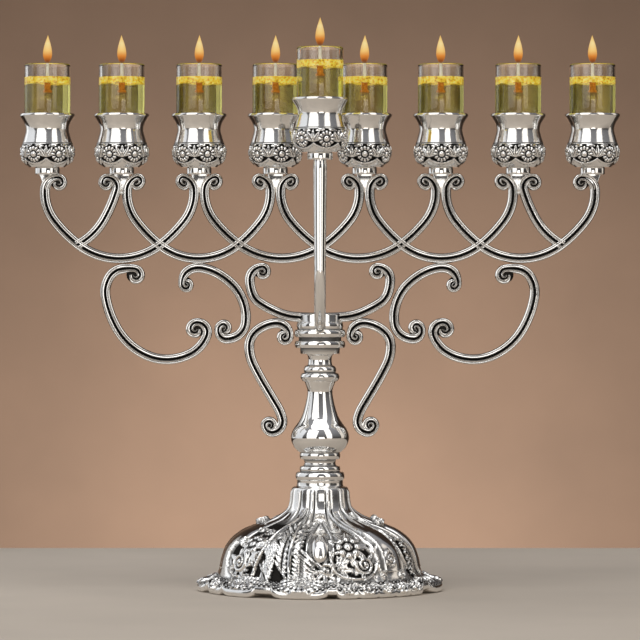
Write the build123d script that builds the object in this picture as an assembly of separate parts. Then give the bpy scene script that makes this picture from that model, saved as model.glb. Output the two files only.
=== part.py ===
from build123d import *
import math
import os

# A nine-light oil menorah. Millimetres, +Z up. The origin is the centre of the foot, on the table.
# +X runs along the row of cups, and the servant light (shamash) stands in front, at -Y.

# ---------------------------------------------------------------- driving sizes
# Row of lights
CUP_OFFSETS = (25.2, 68.4, 112.2, 154.3)  # from the centre line to each branch cup
CUP_RIM_HEIGHT = 269.7                    # rim of the eight branch cups above the table
SHAMASH_RISE = 6.7                        # how much higher the ninth cup stands
SHAMASH_REACH = 42.0                      # how far it stands in front of the branches

# Oil glass, oil and floating wick
GLASS_RADIUS = 13.0
GLASS_WALL = 1.5
GLASS_FLOOR = 2.5
GLASS_HEIGHT = 31.2                       # body, from the ledge it stands on to its lip
PEG_RADIUS = 6.0
PEG_LENGTH = 10.0
OIL_BELOW_LIP = 8.0
OIL_GAP = 0.1
WICK_RADIUS = 0.8
WICK_TIP_RADIUS = 1.3
WICK_TUBE_RADIUS = 1.4
WICK_TUBE_LENGTH = 7.0
FLOAT_RADIUS = 3.2
FLOAT_THICKNESS = 1.2
WELL_CLEARANCE = 0.4

# Cup holder
HOLDER_HEIGHT = 30.4
HOLDER_RIM_RADIUS = 15.6
HOLDER_WAIST_RADIUS = 11.9
HOLDER_BAND_RADIUS = 14.2
HOLDER_FOOT_RADIUS = 10.5
RIM_TO_WAIST = 8.3
RIM_TO_BAND = 17.0
BAND_HEIGHT = 8.5
LEDGE_DEPTH = 3.2                         # the glass stands this far below the rim
GLASS_CLEARANCE = 0.3
PEG_CLEARANCE = 0.4
ROSETTE_COUNT = 6
ROSETTE_RADIUS = 4.0
ROSETTE_RELIEF = 0.9
ROSETTE_ROOT = 3.0                        # how deep a rosette's boss is rooted in the wall
ROSETTE_DROP = 21.5                       # rosette centres below the rim
SEAM_TURN = 45                            # keeps a boss's own seam off the band's edges
ROSETTE_TURNS = (-29, -26, -39, 15, 0, 0, -39, -23, 15)  # degrees, cups 1 to 8 and then the shamash

# Collar and stud under each holder
COLLAR_RADIUS = 6.8
COLLAR_HEIGHT = 3.6
STUD_RADIUS = 2.0
STUD_LENGTH = 6.0
STUD_CLEARANCE = 0.05

# Scroll bars
BAR_WIDTH = 5.6
BAR_DEPTH = 4.2
PAIR_GAP = 0.3                            # between the two bars that meet under a cup
BRANCH_FALL = 44.6                        # from where a bar stands upright to the scrolls hung below it
VOLUTE_RADIUS = 5.1
VOLUTE_INSET = 5.2                        # from an upright bar's centre line to its volute's eye
VOLUTE_RISE = 4.0
SEAT_CUT = 0.15                           # the volutes are dressed flat by this much, to carry the collars
OUTER_CURL = 7.4                          # the same inset on the two outermost bars
OUTER_SHIFT = -1.4                        # those bars stand this far outside their cup's axis
WEB_TOP = 5.0                             # web under each collar: half its width at the top and at its tip,
WEB_TIP = 1.2                             # how far its tip stays above the upright shoulders, and its depth
WEB_STOP = 2.9
WEB_DEPTH = 2.4

# Turned column: where its pieces meet, and their radii
RIM_TO_HUB = 113.1                        # from the rim of the branch cups down to the top of the hub
HUB_HEIGHT = 22.8
HUB_RING_RADIUS = 14.6
HUB_BLOCK_RADIUS = 12.3
UPPER_COLLAR_HEIGHT = 15.6
UPPER_COLLAR_RADIUS = 11.2
VASE_BOTTOM = 78.2
VASE_RADIUS = 16.4
VASE_NECK_RADIUS = 7.0
LOWER_COLLAR_BOTTOM = 62.3
LOWER_COLLAR_RADIUS = 13.8

# Rod that ties the column together
ROD_RADIUS = 3.0
ROD_CLEARANCE = 0.1
ROD_IN_HUB = 13.0
NUT_ACROSS_FLATS = 10.0
NUT_HEIGHT = 5.0
WASHER_RADIUS = 9.0
WASHER_THICKNESS = 1.5

# Shamash arm
ARM_LOW_RADIUS = 3.2
ARM_TOP_RADIUS = 3.8
ARM_NECK_RADIUS = 3.5
ARM_NECK_HEIGHT = 2.2
ARM_BELOW_HUB_TOP = 8.6
ARM_ROOT_DEPTH = 8.0                      # from the column's axis to the end of the arm
ARM_CLEARANCE = 0.05

# Foot
BASE_NECK_RADIUS = 12.9
BASE_SHOULDER_RADIUS = 16.0
BASE_DOME_RADIUS = 55.5
BASE_WALL = 1.8
FLANGE_RADIUS = 64.5
FLANGE_TIP_RADIUS = 70.8
FLANGE_THICKNESS = 3.0
FLANGE_LOBES = 12

# ---------------------------------------------------------------- worked-out places
COLLAR_TOP = CUP_RIM_HEIGHT - HOLDER_HEIGHT
VOLUTE_TOP = COLLAR_TOP - COLLAR_HEIGHT
VOLUTE_EYE = VOLUTE_TOP + SEAT_CUT - VOLUTE_RADIUS
BRANCH_TOP = VOLUTE_EYE - VOLUTE_RISE
BRANCH_DROP = BRANCH_FALL - BAR_WIDTH     # from there to a branch's lowest centre line
HALF_PAIR = BAR_WIDTH / 2 + PAIR_GAP / 2
SHAMASH_RIM = CUP_RIM_HEIGHT + SHAMASH_RISE
HUB_TOP = CUP_RIM_HEIGHT - RIM_TO_HUB
HUB_BOTTOM = HUB_TOP - HUB_HEIGHT
UPPER_COLLAR_BOTTOM = HUB_BOTTOM - UPPER_COLLAR_HEIGHT
ARM_HEIGHT_AT_HUB = HUB_TOP - ARM_BELOW_HUB_TOP


# ---------------------------------------------------------------- helpers
def save(name, shape):
    shape.label = name
    export_step(shape, f"parts/{name}.step")


def group(solids):
    return Compound(children=list(solids))


def turned(stations, bore=0.0):
    """Lathe work: (radius, height) stations, with an optional outward bulge of the run that ends there."""
    points = [(bore, stations[0][1]), *stations, (bore, stations[-1][1])]
    edges = []
    for start, end in zip(points, points[1:] + points[:1]):
        if math.dist(start[:2], end[:2]) < 1e-6:
            continue
        if len(end) == 2:
            edges.append(Line(start[:2], end[:2]))
            continue
        run = math.dist(start[:2], end[:2])
        middle = [(a + b) / 2 for a, b in zip(start, end[:2])]
        normal = ((end[1] - start[1]) / run, (start[0] - end[0]) / run)
        crown = tuple(m + end[2] * n for m, n in zip(middle, normal))
        edges.append(ThreePointArc(start[:2], crown, end[:2]))
    return revolve(Plane.XZ * make_face(edges), Axis.Z)


def arc_chain(points, heading):
    """Tangent arcs through the points, from a first heading in degrees.

    Each arc is (centre, start, middle, end, half the angle it turns through).
    """
    angle = math.radians(heading)
    chain = []
    for start, end in zip(points, points[1:]):
        chord_angle = math.atan2(end[1] - start[1], end[0] - start[0])
        half_turn = (chord_angle - angle + math.pi) % (2 * math.pi) - math.pi
        radius = math.dist(start, end) / (2 * math.sin(half_turn))
        centre = (start[0] - radius * math.sin(angle), start[1] + radius * math.cos(angle))
        middle_angle = angle + half_turn
        middle = (centre[0] + radius * math.sin(middle_angle), centre[1] - radius * math.cos(middle_angle))
        chain.append((centre, start, middle, end, half_turn))
        angle += 2 * half_turn
    return chain


def offset_arc(arc, side):
    """The three points of an arc moved sideways, with +1 to the left of the way it runs."""
    centre, start, middle, end, turn = arc
    moved = []
    for point in (start, middle, end):
        reach = math.dist(point, centre)
        scale = 1 - math.copysign(side * BAR_WIDTH / 2 / reach, side * turn)
        moved.append(tuple(c + (p - c) * scale for c, p in zip(centre, point)))
    return moved


def bar_outline(points, heading, eyes=()):
    """Flat outline of a scroll bar, with a round volute at each eye (x, z, radius)."""
    chain = arc_chain(points, heading)
    left = [offset_arc(arc, 1) for arc in chain]
    right = [offset_arc(arc, -1) for arc in chain]
    edges = [ThreePointArc(*arc) for arc in left]
    edges.append(Line(left[-1][2], right[-1][2]))
    edges += [ThreePointArc(*reversed(arc)) for arc in reversed(right)]
    edges.append(Line(right[0][0], left[0][0]))
    outline = make_face(edges)
    for x, z, radius in eyes:
        outline += Pos(x, z) * Circle(radius)
    return outline


def bar(outline):
    return extrude(Plane.XZ * outline, amount=BAR_DEPTH / 2, both=True)


def half_bar(outline, front):
    return extrude(Plane.XZ * outline, amount=BAR_DEPTH / 2 if front else -BAR_DEPTH / 2)


def mirrored(outline):
    return mirror(outline, about=Plane.YZ)


# ---------------------------------------------------------------- scroll outlines, looking from the front
# The left-hand scrolls are drawn with their heights measured from the top of the hub.
def dressed(outline):
    """A branch outline cut flat where the collars stand on it."""
    width = 4 * CUP_OFFSETS[-1]
    return outline - Pos(0, VOLUTE_TOP) * Rectangle(width, HOLDER_HEIGHT, align=(Align.CENTER, Align.MIN))


def half_branch(middle, shoulder, inset, side):
    """Half of a hanging branch: from its lowest point out to one shoulder and over into the volute."""
    reach = abs(shoulder - middle)
    profile = [(0.0, 1.0), (0.55, 0.80), (0.875, 0.45), (1.0, 0.0)]
    points = [(middle - reach * u, BRANCH_TOP - BRANCH_DROP * v) for u, v in profile]
    points.append((middle - reach + inset, VOLUTE_TOP + SEAT_CUT - BAR_WIDTH / 2))
    outline = bar_outline(points, 180, [(middle - reach + inset, VOLUTE_EYE, VOLUTE_RADIUS)])
    if side > 0:
        outline = Pos(2 * middle, 0) * mirrored(outline)
    return outline


def branch(index):
    """One of the six hanging branches, from the cup at index to the next cup but one."""
    cups = cup_places()
    first, last = cups[index], cups[index + 2]
    left = first + HALF_PAIR if index else first + OUTER_SHIFT
    right = last - HALF_PAIR if index < 5 else last - OUTER_SHIFT
    middle = (left + right) / 2
    left_inset = VOLUTE_INSET if index else OUTER_CURL
    right_inset = VOLUTE_INSET if index < 5 else OUTER_CURL
    return dressed(half_branch(middle, left, left_inset, -1) + half_branch(middle, right, right_inset, 1))


def spur():
    """The short branch under the second cup, which runs down into the outermost branch."""
    cup = -CUP_OFFSETS[2]
    shoulder = cup - HALF_PAIR
    eye = shoulder - VOLUTE_INSET
    points = [
        (eye, VOLUTE_TOP + SEAT_CUT - BAR_WIDTH / 2),
        (shoulder, BRANCH_TOP),
        (shoulder - 7.2, BRANCH_TOP - 17.0),
        (shoulder - 22.5, BRANCH_TOP - 31.5),
    ]
    return dressed(bar_outline(points, 0, [(eye, VOLUTE_EYE, VOLUTE_RADIUS)]))


def outer_scroll():
    points = [
        (-105.0, 25.4), (-112.6, 25.2), (-118.9, 21.0), (-121.4, 9.4), (-114.5, -9.3), (-97.2, -24.0),
        (-86.0, -26.0), (-73.4, -22.8), (-64.2, -12.6), (-69.6, -5.0),
    ]
    return Pos(0, HUB_TOP) * bar_outline(points, 172, [(-105.0, 21.9, 5.8), (-70.1, -8.7, 5.9)])


def inner_scroll():
    points = [
        (-78.2, 16.9), (-76.3, 22.6), (-72.3, 25.4), (-66.6, 25.7), (-56.5, 21.8), (-50.0, 16.8),
        (-45.5, 11.0), (-42.3, 1.9), (-42.2, -5.6), (-46.2, -12.2), (-52.6, -14.4), (-57.6, -9.6),
    ]
    return Pos(0, HUB_TOP) * bar_outline(points, 90, [(-76.1, 16.9, 4.9), (-54.9, -9.1, 5.5)])


def half_lyre():
    points = [
        (0.0, -2.4), (-13.0, -2.0), (-24.0, 0.6), (-33.8, 5.8), (-38.6, 12.0), (-39.8, 18.8),
        (-33.1, 26.5),
    ]
    return Pos(0, HUB_TOP) * bar_outline(points, 180, [(-33.1, 24.0, 5.3)])


def bracket_scroll():
    """Its crown hangs one bar's width below the lyre scroll, which it is soldered to."""
    points = [
        (-17.1, -7.0), (-19.3, -2.0), (-26.0, 0.1), (-35.7, -4.0), (-40.0, -15.0), (-38.6, -24.0),
        (-34.7, -30.9), (-24.0, -45.1), (-21.3, -53.5), (-26.4, -61.6), (-31.2, -58.6),
    ]
    return Pos(0, HUB_TOP - BAR_WIDTH) * bar_outline(points, 90, [(-19.6, -7.0, 5.3), (-28.6, -58.2, 5.4)])


# ---------------------------------------------------------------- the branch frame
def make_branches(outlines):
    """Six branches, halved into each other where neighbours cross."""
    for index, outline in enumerate(outlines):
        solid = bar(outline)
        for neighbour in (index - 1, index + 1):
            if 0 <= neighbour < len(outlines):
                solid -= half_bar(outlines[neighbour], front=index % 2 == 0)
        save(f"branch_{index + 1}", solid)


def make_scrolls(outlines, hub):
    """Spurs and scrolls, each cut to seat on the pieces it is soldered to."""
    left_spur = spur() - outlines[0]
    save("branch_spurs", group([bar(left_spur), bar(mirrored(left_spur))]))
    lyre = half_lyre() - outlines[2]
    lyre = lyre + mirrored(lyre)
    outer = outer_scroll() - outlines[0]
    inner = inner_scroll() - outlines[1] - outer - lyre
    bracket = bracket_scroll() - inner - lyre
    save("lyre_scroll", bar(lyre))
    for side, flip in (("left", False), ("right", True)):
        for name, outline in (("outer", outer), ("inner", inner), ("bracket", bracket)):
            placed = mirrored(outline) if flip else outline
            save(f"{name}_scroll_{side}", bar(placed) - hub)
    return bar(lyre)


# ---------------------------------------------------------------- the turned column and foot
def hub_blank():
    """The hub, with its heights measured from its bottom."""
    block, ring = HUB_BLOCK_RADIUS, HUB_RING_RADIUS
    stations = [
        (block - 1.1, 0), (block - 1.1, 3.4), (ring - 0.7, 3.4), (ring - 0.7, 7.2, 0.5), (block - 0.3, 7.2),
        (block - 0.3, 9.4), (ring - 0.8, 9.4), (ring - 0.8, 13.7, 0.8), (block + 0.4, 13.7),
        (block + 0.4, 18.0, 0.5), (block, 18.0), (block, HUB_HEIGHT),
    ]
    return Pos(0, 0, HUB_BOTTOM) * turned(stations)


def arm_sweep(radius):
    """The curved lower part of the shamash arm, from inside the hub to where it stands upright."""
    bend = SHAMASH_REACH - ARM_ROOT_DEPTH
    root = (0, -ARM_ROOT_DEPTH, ARM_HEIGHT_AT_HUB)
    half_way = (0, -ARM_ROOT_DEPTH - bend * math.sin(math.pi / 4),
                ARM_HEIGHT_AT_HUB + bend * (1 - math.cos(math.pi / 4)))
    path = ThreePointArc(root, half_way, (0, -SHAMASH_REACH, ARM_HEIGHT_AT_HUB + bend))
    return sweep(Plane(origin=root, z_dir=(0, -1, 0)) * Circle(radius), path=path)


def make_hub(hub, lyre):
    hub -= lyre
    hub -= Pos(0, 0, HUB_BOTTOM) * Cylinder(
        ROD_RADIUS + ROD_CLEARANCE, ROD_IN_HUB, align=(Align.CENTER, Align.CENTER, Align.MIN))
    hub -= arm_sweep(ARM_LOW_RADIUS + ARM_CLEARANCE)
    save("hub", hub)


def make_shamash_arm():
    """A rod that leaves the hub forwards, turns upwards and swells towards the cup."""
    top = SHAMASH_RIM - HOLDER_HEIGHT - COLLAR_HEIGHT
    upright = ARM_HEIGHT_AT_HUB + SHAMASH_REACH - ARM_ROOT_DEPTH
    stations = [
        (ARM_LOW_RADIUS, upright), (ARM_TOP_RADIUS, top - ARM_NECK_HEIGHT - 1.0),
        (ARM_NECK_RADIUS, top - ARM_NECK_HEIGHT, 0.2), (ARM_NECK_RADIUS, top),
    ]
    arm = arm_sweep(ARM_LOW_RADIUS) + Pos(0, -SHAMASH_REACH, 0) * turned(stations)
    save("shamash_arm", arm)


def make_column():
    """The two collars and the vase knop, bored for the tie rod."""
    bore = ROD_RADIUS + ROD_CLEARANCE
    top, bottom = HUB_BOTTOM, UPPER_COLLAR_BOTTOM
    wide, narrow = UPPER_COLLAR_RADIUS, VASE_NECK_RADIUS
    upper = [
        (wide - 1.2, bottom), (wide - 1.2, bottom + 0.4), (wide - 0.8, bottom + 4.4, 0.9),
        (narrow + 1.8, bottom + 4.9), (narrow + 1.2, bottom + 8.7, 0.7), (narrow, bottom + 9.1),
        (narrow, top - 1.0, -0.4), (narrow + 1.0, top),
    ]
    save("upper_collar", turned(upper, bore))
    vase = [
        (VASE_RADIUS - 4.4, VASE_BOTTOM), (VASE_RADIUS, VASE_BOTTOM + 7.3, 1.1),
        (VASE_RADIUS - 3.8, VASE_BOTTOM + 16.0, 0.8), (VASE_NECK_RADIUS, VASE_BOTTOM + 31.7, -0.7),
        (VASE_NECK_RADIUS + 2.0, UPPER_COLLAR_BOTTOM, -0.5),
    ]
    save("vase_knop", turned(vase, bore))
    bottom, wide = LOWER_COLLAR_BOTTOM, LOWER_COLLAR_RADIUS
    lower = [
        (wide - 0.6, bottom), (wide - 0.6, bottom + 4.5, 0.7), (wide - 2.8, bottom + 4.5),
        (wide - 2.8, bottom + 7.9, 0.5), (wide - 4.4, bottom + 7.9), (wide - 4.4, bottom + 11.9, -0.6),
        (wide - 2.8, bottom + 11.9), (wide - 2.8, VASE_BOTTOM, 0.5),
    ]
    save("lower_collar", turned(lower, bore))


def inset(points, distance):
    """The same profile moved inwards along its normals."""
    moved = []
    for index, (r, z) in enumerate(points):
        before = points[max(index - 1, 0)]
        after = points[min(index + 1, len(points) - 1)]
        run = math.dist(before, after)
        normal = ((after[1] - before[1]) / run, (before[0] - after[0]) / run)
        moved.append((r + distance * normal[0], z + distance * normal[1]))
    return moved


def dome_solid(points):
    top, foot = points[0], points[-1]
    axis_foot, axis_top = (0, foot[1]), (0, top[1])
    edges = [Spline(*points), Line(foot, axis_foot), Line(axis_foot, axis_top), Line(axis_top, top)]
    return revolve(Plane.XZ * make_face(edges), Axis.Z)


def make_base():
    """A hollow domed foot with a flaring neck and a scalloped flange."""
    neck_bottom = LOWER_COLLAR_BOTTOM - 4.0
    shoulder, dome = BASE_SHOULDER_RADIUS, BASE_DOME_RADIUS
    profile = [
        (shoulder - 0.3, neck_bottom), (shoulder + 0.6, 50.0), (shoulder + 4.5, 43.0), (34.0, 36.6),
        (dome - 10.0, 30.4), (dome - 4.3, 25.0), (dome - 1.2, 18.0), (dome, 9.0),
        (dome + 1.0, FLANGE_THICKNESS),
    ]
    shell = dome_solid(profile)
    shell += Pos(0, 0, neck_bottom) * Cylinder(
        BASE_NECK_RADIUS, LOWER_COLLAR_BOTTOM - neck_bottom, align=(Align.CENTER, Align.CENTER, Align.MIN))
    lobe_reach = (FLANGE_RADIUS + FLANGE_TIP_RADIUS) / 2
    lobe_width = math.pi * lobe_reach / FLANGE_LOBES
    flange = Circle(FLANGE_RADIUS)
    for index in range(FLANGE_LOBES):
        lobe = Ellipse(FLANGE_TIP_RADIUS - FLANGE_RADIUS + lobe_width / 2, lobe_width * 0.8)
        centre = FLANGE_RADIUS - lobe_width / 2
        flange += Rot(0, 0, 360 * index / FLANGE_LOBES) * Pos(centre, 0) * lobe
    shell += extrude(flange, amount=FLANGE_THICKNESS)
    hollow = inset(profile, BASE_WALL)
    hollow[0] = (hollow[0][0], neck_bottom - BASE_WALL)
    hollow[-1] = (hollow[-1][0], 0)
    shell -= dome_solid(hollow)
    shell -= Cylinder(ROD_RADIUS + ROD_CLEARANCE, 4 * LOWER_COLLAR_BOTTOM)
    save("base_shell", shell)
    return neck_bottom - BASE_WALL


def make_tie_rod(ceiling):
    """The rod, washer and nut that clamp the column to the foot, under the foot's ceiling."""
    up = (Align.CENTER, Align.CENTER, Align.MIN)
    bore = ROD_RADIUS + ROD_CLEARANCE
    washer_bottom = ceiling - WASHER_THICKNESS
    nut_bottom = washer_bottom - NUT_HEIGHT
    washer = Cylinder(WASHER_RADIUS, WASHER_THICKNESS, align=up)
    washer -= Cylinder(bore, WASHER_THICKNESS, align=up)
    save("base_washer", Pos(0, 0, washer_bottom) * washer)
    hexagon = RegularPolygon(NUT_ACROSS_FLATS / 2, 6, major_radius=False)
    nut = extrude(hexagon - Circle(bore), amount=NUT_HEIGHT)
    save("base_nut", Pos(0, 0, nut_bottom) * nut)
    rod_bottom = nut_bottom - 2.0
    rod = Cylinder(ROD_RADIUS, HUB_BOTTOM + ROD_IN_HUB - rod_bottom, align=up)
    save("tie_rod", Pos(0, 0, rod_bottom) * rod)


# ---------------------------------------------------------------- cups
def cup_places():
    return [-offset for offset in reversed(CUP_OFFSETS)] + list(CUP_OFFSETS)


def holder_blank():
    """One cup holder with its rim at height 0: a flared rim, a waist and a band of rosettes."""
    stations = [
        (HOLDER_FOOT_RADIUS, -HOLDER_HEIGHT), (HOLDER_BAND_RADIUS, -RIM_TO_BAND - BAND_HEIGHT, 0.9),
        (HOLDER_BAND_RADIUS, -RIM_TO_BAND), (HOLDER_WAIST_RADIUS, -RIM_TO_WAIST, -0.9),
        (HOLDER_RIM_RADIUS, -1.2, -1.0), (HOLDER_RIM_RADIUS, 0, 0.3),
    ]
    holder = turned(stations)
    root = HOLDER_BAND_RADIUS - ROSETTE_ROOT
    boss = Pos(0, 0, root) * Rot(0, 0, SEAM_TURN) * Cylinder(
        ROSETTE_RADIUS, ROSETTE_ROOT + ROSETTE_RELIEF, align=(Align.CENTER, Align.CENTER, Align.MIN))
    for index in range(ROSETTE_COUNT):
        holder += Pos(0, 0, -ROSETTE_DROP) * Rot(0, 0, 360 * index / ROSETTE_COUNT) * Rot(90, 0, 0) * boss
    down = (Align.CENTER, Align.CENTER, Align.MAX)
    holder -= Cylinder(GLASS_RADIUS + GLASS_CLEARANCE, LEDGE_DEPTH, align=down)
    holder -= Cylinder(PEG_RADIUS + PEG_CLEARANCE, LEDGE_DEPTH + PEG_LENGTH + PEG_CLEARANCE, align=down)
    up = (Align.CENTER, Align.CENTER, Align.MIN)
    stud_hole = Cylinder(STUD_RADIUS + STUD_CLEARANCE, STUD_LENGTH + STUD_CLEARANCE, align=up)
    holder -= Pos(0, 0, -HOLDER_HEIGHT) * stud_hole
    return holder


def glass_blank():
    """An oil glass standing on the ledge at height 0, with a solid peg below it."""
    inner = GLASS_RADIUS - GLASS_WALL
    stations = [
        (PEG_RADIUS, -PEG_LENGTH), (PEG_RADIUS, 0), (GLASS_RADIUS, 0), (GLASS_RADIUS, GLASS_HEIGHT),
        (inner, GLASS_HEIGHT, GLASS_WALL / 4), (inner, GLASS_FLOOR), (0, GLASS_FLOOR),
    ]
    return turned(stations)


def oil_blank():
    """The oil, with the straight well that the floating wick hangs in."""
    surface = GLASS_HEIGHT - OIL_BELOW_LIP
    up = (Align.CENTER, Align.CENTER, Align.MIN)
    radius = GLASS_RADIUS - GLASS_WALL - OIL_GAP
    oil = Pos(0, 0, GLASS_FLOOR) * Cylinder(radius, surface - GLASS_FLOOR, align=up)
    well = WICK_TUBE_LENGTH + FLOAT_THICKNESS + WELL_CLEARANCE
    oil -= Pos(0, 0, surface - well) * Cylinder(FLOAT_RADIUS + WELL_CLEARANCE, well + 1, align=up)
    return oil


def wick_blank():
    """A wick in its tube on a small flange, floating with its tip level with the lip of the glass."""
    surface = GLASS_HEIGHT - OIL_BELOW_LIP
    foot = surface - WICK_TUBE_LENGTH - FLOAT_THICKNESS
    stations = [
        (FLOAT_RADIUS, foot), (FLOAT_RADIUS, foot + FLOAT_THICKNESS),
        (WICK_TUBE_RADIUS, foot + FLOAT_THICKNESS), (WICK_TUBE_RADIUS, surface),
        (WICK_RADIUS, surface + 0.6), (WICK_TIP_RADIUS, GLASS_HEIGHT),
    ]
    return turned(stations)


def collar_blank():
    """The disc under a holder, with the stud that goes up into it; its top is at height 0."""
    up = (Align.CENTER, Align.CENTER, Align.MIN)
    disc = Cylinder(COLLAR_RADIUS, COLLAR_HEIGHT, align=(Align.CENTER, Align.CENTER, Align.MAX))
    return disc + Cylinder(STUD_RADIUS, STUD_LENGTH, align=up)


def make_cups(outlines):
    """Holders, glasses, oil and wicks at their places, and the collars that join them to the frame."""
    branch_area = outlines[0]
    for outline in outlines[1:] + [spur(), mirrored(spur())]:
        branch_area += outline
    frame = bar(branch_area)
    wedge = bar_web()
    holder, glass, oil, wick = holder_blank(), glass_blank(), oil_blank(), wick_blank()
    places = [(f"cup_{index + 1}", x, 0, CUP_RIM_HEIGHT) for index, x in enumerate(cup_places())]
    places.append(("shamash", 0, -SHAMASH_REACH, SHAMASH_RIM))
    turns = dict(zip((name for name, *rest in places), ROSETTE_TURNS))
    collars = []
    for name, x, y, rim in places:
        save(f"{name}_holder", Pos(x, y, rim) * Rot(0, 0, turns[name]) * holder)
        ledge = Pos(x, y, rim - LEDGE_DEPTH)
        save(f"{name}_glass", ledge * glass)
        save(f"{name}_oil", ledge * oil)
        save(f"{name}_wick", ledge * wick)
        collar = Pos(x, y, rim - HOLDER_HEIGHT) * collar_blank()
        if name != "shamash":
            collar += Pos(x, y, 0) * wedge - frame
        collars.append(collar)
    save("cup_collars", group(collars))


def bar_web():
    """The small web below a collar, between the two volutes it stands on."""
    top, bottom = VOLUTE_TOP, BRANCH_TOP + WEB_STOP
    outline = Polyline((-WEB_TOP, top), (WEB_TOP, top), (WEB_TIP, bottom), (-WEB_TIP, bottom), close=True)
    return extrude(Plane.XZ * make_face(outline), amount=WEB_DEPTH / 2, both=True)


# ---------------------------------------------------------------- the whole lamp
os.makedirs("parts", exist_ok=True)
branch_outlines = [branch(index) for index in range(6)]
make_branches(branch_outlines)
hub_solid = hub_blank()
lyre_solid = make_scrolls(branch_outlines, hub_solid)
make_hub(hub_solid, lyre_solid)
make_shamash_arm()
make_column()
base_ceiling = make_base()
make_tie_rod(base_ceiling)
make_cups(branch_outlines)
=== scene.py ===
import math

import bpy
import numpy as np
from mathutils import Matrix, Vector


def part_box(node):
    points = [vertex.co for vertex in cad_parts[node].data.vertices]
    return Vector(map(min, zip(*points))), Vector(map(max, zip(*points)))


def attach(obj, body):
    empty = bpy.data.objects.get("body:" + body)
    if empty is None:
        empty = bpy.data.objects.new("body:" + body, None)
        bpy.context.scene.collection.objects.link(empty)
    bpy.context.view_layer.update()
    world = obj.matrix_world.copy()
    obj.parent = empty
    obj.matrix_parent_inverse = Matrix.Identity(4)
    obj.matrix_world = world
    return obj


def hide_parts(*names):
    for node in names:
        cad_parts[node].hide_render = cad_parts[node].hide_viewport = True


# A nine-light oil menorah in polished silver. Lengths below are millimetres until MM turns them into metres.
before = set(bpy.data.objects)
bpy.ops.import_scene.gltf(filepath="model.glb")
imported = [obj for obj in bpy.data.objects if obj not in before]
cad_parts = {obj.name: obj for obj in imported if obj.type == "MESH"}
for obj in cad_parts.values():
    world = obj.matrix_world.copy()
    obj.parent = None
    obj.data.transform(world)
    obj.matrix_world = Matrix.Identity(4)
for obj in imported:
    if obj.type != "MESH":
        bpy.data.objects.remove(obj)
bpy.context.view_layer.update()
MM = 0.001
TURN = 2 * math.pi

# ---------------------------------------------------------------- sizes that the pieces share
CUPS = [f"cup_{number}" for number in range(1, 9)] + ["shamash"]
BAR_HALF_WIDTH = 2.8
STATION_GAP = 1.1                     # along a bar
STATION_TURN = math.radians(9)
TAPER_RUN = 7.0                       # a bar starts to narrow this far before its volute
VOLUTE_RADIUS = 5.1                   # the volutes that the collars stand on
VOLUTE_INSET = 5.2                    # from an upright bar to its volute's eye, and on the outermost bars
OUTER_CURL = 7.4
OUTER_SHIFT = -1.4                    # those two bars stand this far outside their cup's axis
VOLUTE_RISE = 4.0                     # from the upright shoulder to the eye
BRANCH_DROP = 39.0                    # from the shoulder to a branch's lowest point
PAIR_GAP = 0.3
SEAT_CUT = 0.15
COLLAR_HEIGHT = 3.6
HOLDER_HEIGHT = 30.4
LEDGE_DEPTH = 3.2                     # from a holder's rim down to the ledge its glass stands on
BORE = 3.2                            # half the width of the hole the tie rod goes through
ROSETTE_TURNS = dict(zip(CUPS, (-29, -26, -39, 15, 0, 0, -39, -23, 15)))  # degrees


# ---------------------------------------------------------------- working in Blender
def deselect():
    if bpy.context.object and bpy.context.object.mode != "OBJECT":
        bpy.ops.object.mode_set(mode="OBJECT")
    bpy.ops.object.select_all(action="DESELECT")


def pick(piece):
    deselect()
    piece.select_set(True)
    bpy.context.view_layer.objects.active = piece


def mesh_piece(name, points, edges=(), faces=()):
    mesh = bpy.data.meshes.new(name)
    mesh.from_pydata([tuple(c * MM for c in point) for point in points], list(edges), list(faces))
    piece = bpy.data.objects.new(name, mesh)
    bpy.context.scene.collection.objects.link(piece)
    return piece


def mark(piece, name, values):
    """Stores one number per vertex, for a finish to read."""
    layer = piece.data.attributes.get(name) or piece.data.attributes.new(name, "FLOAT", "POINT")
    layer.data.foreach_set("value", np.asarray(values, np.float32))


def marked(piece, name):
    values = np.zeros(len(piece.data.vertices), np.float32)
    piece.data.attributes[name].data.foreach_get("value", values)
    return values.astype(float)


def corners(piece):
    """The piece's vertices in millimetres."""
    flat = np.zeros(3 * len(piece.data.vertices), np.float32)
    piece.data.vertices.foreach_get("co", flat)
    return flat.reshape(-1, 3).astype(float) / MM


def round_axis(points):
    """Each point's distance from the upright axis, and its angle from +X."""
    return np.hypot(points[:, 0], points[:, 1]), np.arctan2(points[:, 1], points[:, 0])


def move_corners(piece, points):
    piece.data.vertices.foreach_set("co", (points * MM).astype(np.float32).ravel())
    piece.data.update()


def shift(piece, x, y, z, turn=0.0):
    piece.data.transform(Matrix.Translation((x * MM, y * MM, z * MM)) @ Matrix.Rotation(math.radians(turn), 4, "Z"))


def copy_piece(piece, name):
    twin = bpy.data.objects.new(name, piece.data.copy())
    twin.data.name = name
    bpy.context.scene.collection.objects.link(twin)
    return twin


def join(pieces, name):
    deselect()
    for piece in pieces:
        piece.select_set(True)
    bpy.context.view_layer.objects.active = pieces[0]
    if len(pieces) > 1:
        bpy.ops.object.join()
    pieces[0].name = name
    pieces[0].data.name = name
    return pieces[0]


def smooth(piece, angle=32):
    pick(piece)
    bpy.ops.object.shade_smooth_by_angle(angle=math.radians(angle))


def edit_all(piece, *operators):
    """Runs edit-mode operators on the whole of the piece's mesh."""
    pick(piece)
    bpy.ops.object.mode_set(mode="EDIT")
    for operator, settings in operators:
        bpy.ops.mesh.select_all(action="SELECT")
        operator(**settings)
    bpy.ops.object.mode_set(mode="OBJECT")


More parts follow.
